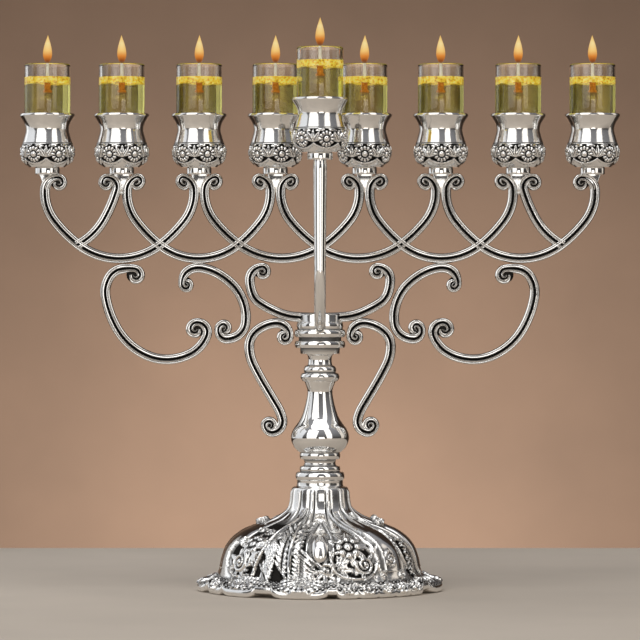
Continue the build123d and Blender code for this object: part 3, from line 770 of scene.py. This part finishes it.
# Lobes of the flange: degrees from the front, half width in degrees, how far they reach out.
SCALLOPS = [(-84, 12, 3.2), (-63, 8, 0.6), (-44, 11, 1.2), (-10, 14, 1.6), (14, 6, 0.6), (24, 6, 0.9), (34, 6, 0.6),
            (44, 6, 0.9), (54, 6, 0.6), (84, 18, 3.0)]
GROUND_DEPTH = 0.7
EDGE_LIFT = 2.3                       # between the lobes the flange's edge is this far off the table


def scalloped(angle):
    """How much further out than its plain circle the flange reaches, and how far its edge is lifted."""
    wave, cover = np.zeros_like(angle), np.zeros_like(angle)
    for degrees, half, reach in SCALLOPS:
        away = np.degrees(turn_from(angle, degrees)) / half
        lobe = dome(away)
        wave, cover = np.maximum(wave, reach * lobe), np.maximum(cover, lobe)
    return wave - 0.8, EDGE_LIFT * (1 - np.clip(cover * 1.25, 0, 1))


def carve_foot(piece, rows):
    """Raises the ornament on a spun part of the foot. rows says which of its rows are outside ones."""
    points = corners(piece)
    row = np.rint(marked(piece, "along")).astype(int)
    outside = row < len(rows)
    place = np.array(rows)[np.where(outside, row, 0)]
    radius = np.hypot(points[:, 0], points[:, 1])
    angle = np.arctan2(points[:, 0], -points[:, 1])
    height, run = points[:, 2], foot_run[place]
    lobes = lobed(angle, height)
    shape = lobes + fluted_neck(angle, height)
    ornament = np.maximum(foot_ornament(angle, run), flange_ornament(angle, run))
    sunk = np.zeros_like(angle)
    for degrees, at, half_width, half_height in GROUNDS:
        spot = Patch(angle, run, degrees, at, max(half_width, half_height))
        away = np.hypot(spot.across / half_width, spot.up / half_height)
        spot.raise_on(sunk, ease_in(1 - away, 0.12))
    flange = ease_in(9.5 - height, 1.5) * ease_in(radius - 55, 2)
    flange *= ease_in(height - 3.6, 1.0)
    hatch = feathers(angle * radius, run, 45, 2.2) * feathers(angle * radius, run, -45, 2.2)
    sunk = np.maximum(sunk, flange)
    relief = np.maximum(ornament, sunk * (flange * hatch - GROUND_DEPTH))
    move = np.where(outside, shape + relief, 0.0)
    move *= ease_in(59 - height, 1.0) * ease_in(height - 1.2, 2.0)
    normal = np.stack([-foot_way[place, 1], foot_way[place, 0]], axis=1)
    outwards, lift = scalloped(angle)
    on_flange = ease_in(radius - FLANGE_ROOT, 8)
    points[:, :2] *= (1 + (move * normal[:, 0] + outwards * on_flange) / np.maximum(radius, 1))[:, None]
    points[:, 2] = np.maximum(points[:, 2] + move * normal[:, 1], 0) + lift * on_flange
    move_corners(piece, points)
    weight = np.where(ornament > BARE / 2, 1.0, 0.6) * ease_in(46 - height, 3)
    dark = np.maximum(darkness(relief, -0.45, 0.25) * sunk, weight * crevices(row, angle, move, FOOT_STEPS, 4, 0.38))
    neck_line = np.exp(-(from_panel(angle) - PANEL_EDGE) ** 2)
    dark = np.maximum(dark, 0.85 * neck_line * ease_in(height - 38, 6) * ease_in(57.5 - height, 1.0))
    dark *= ease_in(height - 3.4, 1.0)
    valley = darkness(lobes, 0.05, 0.35) * ease_in(42 - height, 4) * ease_in(height - 8, 3)
    dark = np.maximum(dark, 0.8 * valley * (ornament < 0.2))
    mark(piece, "hollow", np.where(outside, dark, 0.0))


def make_foot():
    split = next(i for i, (r, z) in enumerate(FOOT_OUTSIDE) if z < FOOT_SPLIT and r > 30)
    inner = next(i for i, (r, z) in enumerate(FOOT_INSIDE) if z > FOOT_SPLIT - 2)
    whole = []
    for name, rows, inside in (("foot_neck", range(split + 1), FOOT_INSIDE[inner:]),
                               ("foot_dome", range(split, len(FOOT_OUTSIDE)), FOOT_INSIDE[:inner + 1])):
        piece = spun(name, [FOOT_OUTSIDE[row] for row in rows] + inside, FOOT_STEPS)
        carve_foot(piece, list(rows))
        whole.append((piece, ["base_shell"]))
    return whole


# ---------------------------------------------------------------- the column, collars and arm
def tube(name, points, radii):
    """A round bar along the points, as a curve made into a mesh."""
    curve = bpy.data.curves.new(name, "CURVE")
    curve.dimensions = "3D"
    curve.bevel_depth = MM
    curve.bevel_resolution = 8
    curve.use_fill_caps = True
    spline = curve.splines.new("POLY")
    spline.points.add(len(points) - 1)
    for spot, point, radius in zip(spline.points, points, radii):
        spot.co = (*(c * MM for c in point), 1)
        spot.radius = radius
    bar = bpy.data.objects.new(name, curve)
    bpy.context.scene.collection.objects.link(bar)
    pick(bar)
    bpy.ops.object.convert(target="MESH")
    return bpy.context.object


def turned_piece(name, stations, z=0.0, x=0.0, y=0.0, steps=128, edge=0.22):
    """A lathe-turned piece with its sharp edges broken, blackened in its sharp hollows."""
    profile = bulged(stations)
    piece = spun(name, profile, steps)
    apply_modifier(piece, "BEVEL", width=edge * MM, segments=2, limit_method="ANGLE",
                   angle_limit=math.radians(28), use_clamp_overlap=True)
    points = corners(piece)
    reach, height = np.hypot(points[:, 0], points[:, 1]), points[:, 2]
    outside = [place for place in profile if place[0] > BORE] or profile
    radii, heights = zip(*outside)
    around = sum(np.interp(height + gap, heights, radii) for gap in (-1.0, -0.5, 0.5, 1.0)) / 4
    mark(piece, "hollow", 0.85 * darkness(reach - around, -0.9, -0.15) * (reach > BORE))
    shift(piece, x, y, z)
    return piece


def make_column():
    """The four turned pieces between the foot and the branches, each as tall as its CAD node."""
    boxes = {node: mm_box(node) for node in ("hub", "upper_collar", "vase_knop", "lower_collar")}
    hub_tall, upper_tall, vase_tall, lower_tall = (high[2] - low[2] for low, high in boxes.values())
    stations = {
        "hub": [(3.1, 0), (11.2, 0), (11.2, 3.4), (13.9, 3.4), (13.9, 7.2, 0.5), (12.0, 7.2), (12.0, 9.4), (13.8, 9.4),
                (13.8, 13.7, 0.8), (12.7, 13.7), (12.7, 18.0, 0.5), (12.3, 18.0), (12.3, hub_tall - 0.8),
                (11.6, hub_tall), (3.1, hub_tall)],
        "upper_collar": [(3.1, 0), (10.0, 0), (10.0, 0.4), (10.4, 4.4, 0.9), (8.8, 4.9), (8.2, 8.7, 0.7), (7.0, 9.1),
                         (7.0, upper_tall - 1.0, -0.4), (8.0, upper_tall), (3.1, upper_tall)],
        "vase_knop": [(3.1, 0)] + flowing([(12.0, 0), (14.6, 2.6), (16.3, 6.3), (16.4, 9.6), (15.0, 13.2), (12.6, 16.4),
                                           (10.3, 20.4), (8.6, 25.6), (7.3, 31.7), (7.2, 35.4), (8.9, vase_tall)], 0.8)
                     + [(3.1, vase_tall)],
        "lower_collar": [(3.1, 0), (13.2, 0), (13.2, 4.5, 0.7), (11.0, 4.5), (11.0, 7.9, 0.5), (9.4, 7.9),
                         (9.4, 11.9, -0.6), (11.0, 11.9), (11.0, lower_tall, 0.5), (3.1, lower_tall)],
    }
    return [(turned_piece(f"{node}_turned", stations[node], low[2]), [node]) for node, (low, high) in boxes.items()]


ARM_ROOT_DEPTH = 8.0
ARM_RADII = (3.2, 3.8)
ARM_STEPS = 24
ROOT_SHADE = (12.5, 18.0)             # the painted shade at the arm's root fades out between these distances in front of the column


def make_arm():
    """The shamash's arm: forwards out of the hub, up, and swelling to a small neck under the cup."""
    low, high = mm_box("shamash_arm")
    x, y, rim, ledge, lip = cup_axis("shamash")
    reach = -y - ARM_ROOT_DEPTH
    root = low[2] + ARM_RADII[0]
    points, radii = [], []
    for step in range(ARM_STEPS + 1):
        bend = math.pi / 2 * step / ARM_STEPS
        points.append((0, -ARM_ROOT_DEPTH - reach * math.sin(bend), root + reach * (1 - math.cos(bend))))
        radii.append(ARM_RADII[0])
    for step in range(1, ARM_STEPS + 1):
        points.append((0, y, root + reach + (high[2] - 3.0 - root - reach) * step / ARM_STEPS))
        radii.append(ARM_RADII[0] + (ARM_RADII[1] - ARM_RADII[0]) * step / ARM_STEPS)
    points += [(0, y, high[2] - 2.5), (0, y, high[2] - 2.0), (0, y, high[2])]
    radii += [3.65, 3.5, 3.5]
    arm = tube("shamash_arm_drawn", points, radii)
    # Painted shade: the arm darkens towards the column it leaves, fading out between the ROOT_SHADE distances.
    mark(arm, "hollow", 0.9 * darkness(-corners(arm)[:, 1], *ROOT_SHADE))
    return [(arm, ["shamash_arm"])]


def make_collars():
    """The discs under the cups, with their studs, the webs between the volutes and a small bud in each."""
    disc = [(0, -4.1), (6.6, -4.1), (7.0, -COLLAR_HEIGHT), (7.0, -0.4), (6.7, 0), (2.0, 0), (2.0, 6.0), (0, 6.0)]
    bud = flowing([(0, -5.2), (0.8, -4.6), (1.25, -3.4), (1.0, -2.0), (0.7, -0.8), (0, -0.2)], 0.4)
    bead = flowing([(0, -1.3), (0.9, -0.9), (1.3, 0), (0.9, 0.9), (0, 1.3)], 0.35)
    web_ends = ((VOLUTE_TOP + 0.3, 4.9), (BRANCH_TOP - 2.0, 0.8))  # height, half width
    web_corners = ((-1, -1.1), (1, -1.1), (1, 1.1), (-1, 1.1))
    web_faces = [(3, 2, 1, 0), (4, 5, 6, 7), (0, 1, 5, 4), (1, 2, 6, 5), (2, 3, 7, 6), (3, 0, 4, 7)]
    parts = []
    for cup in CUPS:
        x, y, rim, ledge, lip = cup_axis(cup)
        parts.append(turned_piece("disc", disc, rim - HOLDER_HEIGHT, x, y, 64, 0.15))
        if cup == "shamash":
            continue
        parts.append(turned_piece("bud", bud, VOLUTE_TOP, x, y, 20, 0.02))
        places = [(x + side * wide, depth, z) for z, wide in web_ends for side, depth in web_corners]
        web = mesh_piece("web", places, faces=web_faces)
        apply_modifier(web, "BEVEL", width=0.5 * MM, segments=3)
        mark(web, "hollow", [0.12] * len(web.data.vertices))
        parts.append(web)
        if cup in ("cup_2", "cup_7"):
            parts += [turned_piece("bead", bead, VOLUTE_TOP - 6.2 - 2.3 * place, x, y, 20, 0.02) for place in range(3)]
    return [(join(parts, "cup_collars_turned"), ["cup_collars"])]


# ---------------------------------------------------------------- glass, oil, wick and flame
GLASS_HEIGHT = 31.2                   # above the ledge
OIL_BELOW_LIP = 8.0
OIL_TOP = GLASS_HEIGHT - OIL_BELOW_LIP
OIL_RADIUS = 11.56                    # just into the glass, which is 11.5 wide inside
FLAME_LIT_DEPTH = 3.3                      # the oil's top layer, bright gold with a painted glow of flame light
FLAME_HEIGHT = 15.8
FLAME_SWAY = dict(zip(CUPS, (0.3, -0.2, 0.2, 0.1, 0.3, -0.3, 0.2, -0.2, 0.1)))


def lean(flame, sway):
    """Bends a flame's tip sideways."""
    points = corners(flame)
    points[:, 0] += sway * (points[:, 2] / FLAME_HEIGHT) ** 2
    move_corners(flame, points)


def make_glass():
    foot = flowing([(5.3, -10), (5.8, -9.7), (6.0, -9.0), (6.0, -0.6)], 0.5)
    lip = flowing([(12.96, 30.2), (12.7, 30.9), (12.25, GLASS_HEIGHT), (11.8, 30.9), (11.54, 30.2)], 0.25)
    wall = [(6.2, -0.1), (12.3, 0.0), (12.8, 0.2), (13.0, 0.8), (13.0, 12.0), (13.0, 29.6)]
    inside = [(11.5, 29.4), (11.5, 14.0), (11.5, 3.6), (11.2, 2.9), (10.5, 2.5), (0, 2.5)]
    return spun("glass", [(0, -10)] + foot + wall + lip + inside, 96, closed=False)


def make_oil():
    """The oil, with even rows where its top layer of painted flame glow starts."""
    rows = [OIL_TOP - FLAME_LIT_DEPTH - 1.2 + 0.3 * step for step in range(15)]
    oil = spun("oil", [(0, 2.45), (10.5, 2.45), (11.3, 2.9), (OIL_RADIUS, 3.6), (OIL_RADIUS, 12.0)]
               + [(OIL_RADIUS, row) for row in rows if row < OIL_TOP + 0.2]
               + [(OIL_RADIUS, OIL_TOP + 0.6), (11.2, OIL_TOP + 0.25), (10.4, OIL_TOP), (0, OIL_TOP)],
               120, closed=False)
    points = corners(oil)
    radius, angle = round_axis(points)
    wave = 0.35 * np.sin(3 * angle + 1) + 0.25 * np.sin(7 * angle) + 0.15 * np.sin(17 * angle)
    mark(oil, "skin", np.clip((points[:, 2] - (OIL_TOP - FLAME_LIT_DEPTH + wave)) / 0.5 + 0.5, 0, 1))
    return oil


def make_wick():
    cord = flowing([(0.95, OIL_TOP), (1.0, OIL_TOP + 2), (0.9, 29.0), (1.05, 30.2), (0.8, 31.0)], 0.5)
    wick = spun("wick", [(0, OIL_TOP)] + cord + [(0, 31.4)], 20, closed=False)
    mark(wick, "char", ease_in(corners(wick)[:, 2] - 29.6, 1.2))
    return wick


def make_wick_tube():
    foot = OIL_TOP - 7.0
    return spun("tube", [(0, foot - 1.2), (1.8, foot - 1.2), (1.95, foot - 0.7), (1.8, foot - 0.1), (1.35, foot + 0.2),
                         (1.35, OIL_TOP - 0.2), (1.2, OIL_TOP + 0.1), (0, OIL_TOP + 0.1)], 28, closed=False)


def make_flame():
    shape = flowing([(0, 0), (0.7, 0.1), (1.5, 1.0), (2.3, 3.0), (2.6, 5.0), (2.35, 7.8), (1.65, 10.8), (0.8, 13.4),
                     (0, FLAME_HEIGHT)], 0.45)
    flame = spun("flame", shape, 32, closed=False)
    mark(flame, "rise", corners(flame)[:, 2] / FLAME_HEIGHT)
    return flame


def make_lights():
    """For each cup: its glass and oil, and its wick, the tube round that, and the flame."""
    rows = [(make_glass(), "oil_glass", "glass", "glass"), (make_oil(), "lamp_oil", "oil", "glass"),
            (make_wick(), "wick_cotton", "wick", "wick"), (make_wick_tube(), "wick_tube", None, "wick"),
            (make_flame(), "flame", None, "wick")]
    pieces = []
    for cup in CUPS:
        x, y, rim, ledge, lip = cup_axis(cup)
        for blank, name, node, body in rows:
            piece = copy_piece(blank, f"{cup}_{name}")
            if name == "flame":
                lean(piece, FLAME_SWAY[cup])
            shift(piece, x, y, lip + 0.4 if name == "flame" else ledge)
            pieces.append((piece, [f"{cup}_{node}"] if node else [], f"{cup}_{body}_body", name))
    for blank, *_ in rows:
        bpy.data.objects.remove(blank)
    return pieces


# ---------------------------------------------------------------- finishes
class Value:
    """A node's output. Sums and products of it add Math nodes."""

    def __init__(self, finish, socket):
        self.finish, self.socket = finish, socket

    def _math(self, operation, first, second):
        return self.finish.node("ShaderNodeMath", {"operation": operation}, {0: first, 1: second})

    def __add__(self, other):
        return self._math("ADD", self, other)

    def __sub__(self, other):
        return self._math("SUBTRACT", self, other)

    def __rsub__(self, other):
        return self._math("SUBTRACT", other, self)

    def __mul__(self, other):
        return self._math("MULTIPLY", self, other)

    __radd__ = __add__
    __rmul__ = __mul__


class Finish:
    """A material, built from nodes."""

    def __init__(self, name):
        self.material = bpy.data.materials.new(name)
        self.material.use_nodes = True
        self.tree = self.material.node_tree
        self.tree.nodes.clear()

    def node(self, kind, settings=None, inputs=None, output=0):
        made = self.tree.nodes.new(kind)
        for name, value in (settings or {}).items():
            if name == "stops":
                ramp = made.color_ramp
                while len(ramp.elements) < len(value):
                    ramp.elements.new(0.5)
                for element, (position, colour) in zip(ramp.elements, value):
                    element.position, element.color = position, (*colour, 1)
            else:
                setattr(made, name, value)
        for name, value in (inputs or {}).items():
            if isinstance(value, Value):
                self.tree.links.new(value.socket, made.inputs[name])
            else:
                made.inputs[name].default_value = value
        return Value(self, made.outputs[output] if made.outputs else None)

    def shader(self, **inputs):
        """A Principled shader; base_color sets Base Color, and so on."""
        names = {"ior": "IOR", "specular_ior_level": "Specular IOR Level"}
        return self.node("ShaderNodeBsdfPrincipled", inputs={
            names.get(name, name.replace("_", " ").title()): value for name, value in inputs.items()})

    def finish(self, surface):
        self.node("ShaderNodeOutputMaterial", inputs={"Surface": surface})
        return self.material

    def made_of(self, **inputs):
        return self.finish(self.shader(**inputs))

    def place(self):
        return self.node("ShaderNodeTexCoord", output="Object")

    def noise(self, scale, detail=3.0, roughness=0.55):
        return self.node("ShaderNodeTexNoise", inputs={"Vector": self.place(), "Scale": scale, "Detail": detail,
                                                       "Roughness": roughness})

    def attribute(self, name):
        return self.node("ShaderNodeAttribute", {"attribute_name": name}, output="Fac")

    def blend(self, share, first, second):
        return self.node("ShaderNodeMix", {"data_type": "RGBA"}, {0: share, 6: first, 7: second}, output=2)

    def bump(self, height, strength, distance):
        return self.node("ShaderNodeBump", inputs={"Height": height, "Strength": strength, "Distance": distance})

    def clamp(self, value):
        return self.node("ShaderNodeClamp", inputs={"Value": value})


SILVER = (0.93, 0.925, 0.91, 1)
SILVER_WARM = (0.88, 0.86, 0.82, 1)
# The darkening colour: oxide in sunk places, and painted shade at the root of the shamash's arm.
OXIDE_AND_SHADE = (0.022, 0.020, 0.018, 1)


def silver(name, relief, polish, grain):
    """Polished silver. relief: how strongly the sunk places are blackened."""
    finish = Finish(name)
    soil = finish.noise(900, 4)
    film = finish.noise(28, 3)
    sunk = finish.clamp(finish.attribute("hollow") * relief * (soil * 0.5 + 0.75))
    colour = finish.blend(sunk, finish.blend(film * 0.35, SILVER, SILVER_WARM), OXIDE_AND_SHADE)
    roughness = finish.clamp(film * 0.05 + polish + sunk * 0.45)
    rough_cast = finish.bump(finish.noise(grain, 3), 0.10, 0.0002)
    return finish.made_of(base_color=colour, metallic=1.0, roughness=roughness, normal=rough_cast)


def turned_silver():
    """Lathe-polished silver, with the faintest rings left by the tool."""
    finish = Finish("silver_turned")
    film = finish.noise(35, 3)
    stretched = finish.node("ShaderNodeMapping", inputs={"Vector": finish.place(), "Scale": (0.03, 0.03, 1.0)})
    rings = finish.node("ShaderNodeTexNoise", inputs={"Vector": stretched, "Scale": 2500, "Detail": 2.0})
    # The attribute read here blackens sunk places with oxide, and on the shamash's arm it is painted shade near the
    # column.
    sunk = finish.clamp(finish.attribute("hollow"))
    colour = finish.blend(sunk, finish.blend(film * 0.35, SILVER, SILVER_WARM), OXIDE_AND_SHADE)
    roughness = finish.clamp(film * 0.05 + 0.035 + sunk * 0.5)
    return finish.made_of(base_color=colour, metallic=1.0, roughness=roughness, normal=finish.bump(rings, 0.05, 0.0001))


def clear_glass():
    finish = Finish("glass_clear")
    smear = finish.noise(160, 2)
    return finish.made_of(base_color=(0.97, 0.98, 0.965, 1), roughness=smear * 0.02, ior=1.47,
                          transmission_weight=1.0, normal=finish.bump(finish.noise(60, 1), 0.03, 0.0003))


def lamp_oil():
    """Clear golden-green oil under a grainy gold layer at its surface, whose brightness and glow are painted light from
    the flame.
    """
    finish = Finish("oil_golden")
    tint = finish.blend(finish.noise(90, 2), (0.87, 0.82, 0.34, 1), (0.80, 0.74, 0.25, 1))
    oil = finish.shader(base_color=tint, roughness=0.0, ior=1.33, transmission_weight=1.0)
    grain = finish.noise(650, 3, 0.7)
    flame_lit_gold = finish.node("ShaderNodeValToRGB", {"stops": [(0.36, (0.50, 0.30, 0.01)), (0.50, (1.0, 0.72, 0.05)),
                                                       (0.64, (1.0, 0.92, 0.34))]}, {"Fac": grain})
    # Painted light: the top layer is lit bright and glows through its emission, standing for the flame's light in the
    # oil.
    skin = finish.shader(base_color=flame_lit_gold, roughness=0.35, ior=1.4, transmission_weight=0.25, emission_color=flame_lit_gold,
                         emission_strength=0.34, normal=finish.bump(grain, 0.5, 0.0005))
    share = finish.clamp(finish.attribute("skin") * (grain * 0.5 + 0.75))
    return finish.finish(finish.node("ShaderNodeMixShader", inputs={0: share, 1: oil, 2: skin}))


def wick_cotton():
    finish = Finish("wick_cotton")
    fibre = finish.node("ShaderNodeTexWave", {"wave_type": "BANDS", "bands_direction": "DIAGONAL"},
                        {"Vector": finish.place(), "Scale": 700, "Distortion": 2.0, "Detail": 2.0})
    char = finish.clamp(finish.attribute("char"))
    white = finish.blend(fibre, (0.93, 0.92, 0.88, 1), (0.72, 0.70, 0.66, 1))
    return finish.made_of(base_color=finish.blend(char, white, (0.03, 0.02, 0.015, 1)), roughness=0.85,
                          sheen_weight=0.3, normal=finish.bump(fibre, 0.6, 0.0002))


def wick_tube():
    finish = Finish("wick_tube_amber")
    grain = finish.noise(800, 4, 0.65)
    colour = finish.node("ShaderNodeValToRGB", {"stops": [(0.3, (0.36, 0.10, 0.02)), (0.6, (0.75, 0.30, 0.06)),
                                                         (0.8, (0.92, 0.55, 0.20))]}, {"Fac": grain})
    # Painted glow: the emission stands for flame light on the tube, which is no lamp.
    return finish.made_of(base_color=colour, roughness=0.45, emission_color=colour, emission_strength=0.25,
                          normal=finish.bump(grain, 0.4, 0.0003))


def flame_glow():
    """A flame: dark round the wick, orange low down and at its edges, yellow and cream inside."""
    finish = Finish("flame_glow")
    rise = finish.attribute("rise")
    flicker = finish.noise(220, 2)
    level = finish.clamp(rise + (flicker - 0.5) * 0.08)
    inside = finish.node("ShaderNodeValToRGB", {"stops": [
        (0.0, (0.03, 0.012, 0.01)), (0.10, (0.30, 0.07, 0.01)), (0.24, (0.70, 0.24, 0.04)),
        (0.42, (0.88, 0.56, 0.18)), (0.70, (0.90, 0.72, 0.33)), (1.0, (0.85, 0.52, 0.14))]}, {"Fac": level})
    edge = finish.node("ShaderNodeLayerWeight", inputs={"Blend": 0.35}, output="Facing")
    colour = finish.blend(finish.clamp(edge * 0.8), inside, (0.55, 0.22, 0.05, 1))
    return finish.made_of(base_color=(0.0, 0.0, 0.0, 1), roughness=1.0, specular_ior_level=0.0, emission_color=colour,
                          emission_strength=1.0, alpha=finish.clamp(rise * 4.0 + 0.35))


def brushed_steel():
    finish = Finish("steel_brushed")
    stretched = finish.node("ShaderNodeMapping", inputs={"Vector": finish.place(), "Scale": (1.0, 1.0, 0.05)})
    brush = finish.node("ShaderNodeTexNoise", inputs={"Vector": stretched, "Scale": 1400, "Detail": 3.0})
    colour = finish.blend(brush, (0.50, 0.50, 0.51, 1), (0.66, 0.66, 0.67, 1))
    return finish.made_of(base_color=colour, metallic=1.0, roughness=brush * 0.15 + 0.28,
                          normal=finish.bump(brush, 0.15, 0.0001))


def plain_paper(name, colour):
    finish = Finish(name)
    mottle = finish.noise(3.0, 4, 0.6)
    darker = tuple(c * 0.62 for c in colour)
    return finish.made_of(base_color=finish.blend(mottle, (*colour, 1), (*darker, 1)), roughness=0.85,
                          normal=finish.bump(finish.noise(900, 2), 0.08, 0.0005))


# ---------------------------------------------------------------- camera, studio and the whole
CAMERA_AWAY = 2.0
CAMERA_HEIGHT = 0.1643
CAMERA_AIM = 0.1529
VIEW_ACROSS = 0.3625                  # what the camera spans at the menorah
SENSOR = 36
TABLE_EDGE = 0.337                    # behind the menorah
BACKDROP_AWAY = 3.3                   # far enough for a camera to pass behind the menorah


def turned_to(spot, target):
    return (Vector(target) - Vector(spot)).to_track_quat("-Z", "Y").to_euler()


def set_camera():
    deselect()
    spot = (0, -CAMERA_AWAY, CAMERA_HEIGHT)
    bpy.ops.object.camera_add(location=spot, rotation=turned_to(spot, (0, 0, CAMERA_AIM)))
    camera = bpy.context.object
    camera.data.sensor_width = SENSOR
    camera.data.lens = SENSOR * CAMERA_AWAY / VIEW_ACROSS
    bpy.context.scene.camera = camera


def set_stage():
    """A pale table top, and a warm plain backdrop some way behind."""
    for name, size, spot, tip, colour in (
            ("floor", 6, (0, TABLE_EDGE - 3, 0), 0, (0.74, 0.65, 0.55)),
            ("backdrop", 8, (0, BACKDROP_AWAY, 0.8), math.pi / 2, (0.17, 0.11, 0.075))):
        deselect()
        bpy.ops.mesh.primitive_plane_add(size=size, location=spot, rotation=(tip, 0, 0))
        sheet = bpy.context.object
        sheet.name = name
        sheet.data.materials.append(plain_paper(f"{name}_paper", colour))


def set_lights():
    """Tall soft boxes to the left and right, with a dark gap between them, one overhead and one for the backdrop."""
    # name, place, what it points at, width, height, power, colour
    rows = [("key", (-0.92, -1.35, 0.9), (0, 0, 0.2), 1.35, 1.9, 11, (1.0, 0.99, 0.97)),
            ("side", (-1.5, 0.35, 0.7), (0, 0, 0.2), 1.9, 1.5, 6.0, (0.93, 0.96, 1.0)),
            ("right", (0.95, -1.2, 0.9), (0, 0, 0.2), 0.7, 1.9, 5.5, (1.0, 0.96, 0.90)),
            ("edge", (1.4, 0.3, 0.7), (0, 0, 0.2), 0.5, 1.4, 1.4, (1.0, 0.90, 0.78)),
            ("rear_left", (-1.5, 1.5, 0.6), (0, 0, 0.15), 1.2, 1.3, 2.0, (1.0, 0.99, 0.97)),
            ("top", (0.0, -0.5, 1.6), (0, 0, 0.1), 1.5, 0.8, 7, (1.0, 1.0, 1.0)),
            ("low_front", (0.15, -1.3, 0.16), (0, 0, 0.12), 0.5, 0.28, 0.9, (1.0, 0.97, 0.93)),
            ("backdrop_light", (0.0, 2.4, -0.38), (0, BACKDROP_AWAY, 0.1), 0.7, 0.35, 31, (1.0, 0.92, 0.84))]
    for name, spot, target, wide, tall, power, colour in rows:
        deselect()
        bpy.ops.object.light_add(type="AREA", location=spot, rotation=turned_to(spot, target))
        lamp = bpy.context.object
        lamp.name = name
        lamp.data.shape = "RECTANGLE"
        lamp.data.size, lamp.data.size_y = wide, tall
        lamp.data.energy, lamp.data.color = power, colour


def set_world():
    """A dim room, darker low down and brighter overhead."""
    world = bpy.data.worlds.new("studio_room")
    world.use_nodes = True
    bpy.context.scene.world = world
    nodes, links = world.node_tree.nodes, world.node_tree.links
    place = nodes.new("ShaderNodeTexCoord")
    split = nodes.new("ShaderNodeSeparateXYZ")
    ramp = nodes.new("ShaderNodeValToRGB")
    low, high = ramp.color_ramp.elements
    low.position, low.color = 0.0, (0.05, 0.045, 0.04, 1)
    high.position, high.color = 0.9, (0.34, 0.34, 0.36, 1)
    links.new(place.outputs["Generated"], split.inputs[0])
    links.new(split.outputs["Z"], ramp.inputs["Fac"])
    links.new(ramp.outputs["Color"], nodes["Background"].inputs["Color"])
    nodes["Background"].inputs["Strength"].default_value = 0.9


def finish_piece(piece, nodes, body, material, slot, angle=32):
    smooth(piece, angle)
    piece.data.materials.clear()
    piece.data.materials.append(material)
    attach(piece, body)
    if nodes:
        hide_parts(*nodes)


set_camera()
set_stage()
set_lights()
set_world()

chased, plain = silver("silver_chased", 1.3, 0.10, 700), silver("silver_bars", 1.3, 0.09, 900)
turned, steel = turned_silver(), brushed_steel()
looks = {"oil_glass": (clear_glass(), "clear_glass"), "lamp_oil": (lamp_oil(), "lamp_oil"),
         "wick_cotton": (wick_cotton(), "waxed_wick"), "wick_tube": (wick_tube(), "waxed_wick"),
         "flame": (flame_glow(), "waxed_wick")}

for make, material in ((make_branches, plain), (make_spurs, plain), (make_scrolls, plain), (make_holders, chased),
                       (make_foot, chased), (make_column, turned), (make_arm, turned), (make_collars, turned)):
    for piece, nodes in make():
        finish_piece(piece, nodes, "lamp", material, "polished_silver")
for piece, nodes, body, look in make_lights():
    finish_piece(piece, nodes, body, *looks[look], angle=60)
for node in ("tie_rod", "base_washer", "base_nut"):
    carried = bpy.data.objects[node]
    carried.data.materials.clear()
    carried.data.materials.append(steel)

bpy.context.scene.view_settings.view_transform = "Standard"
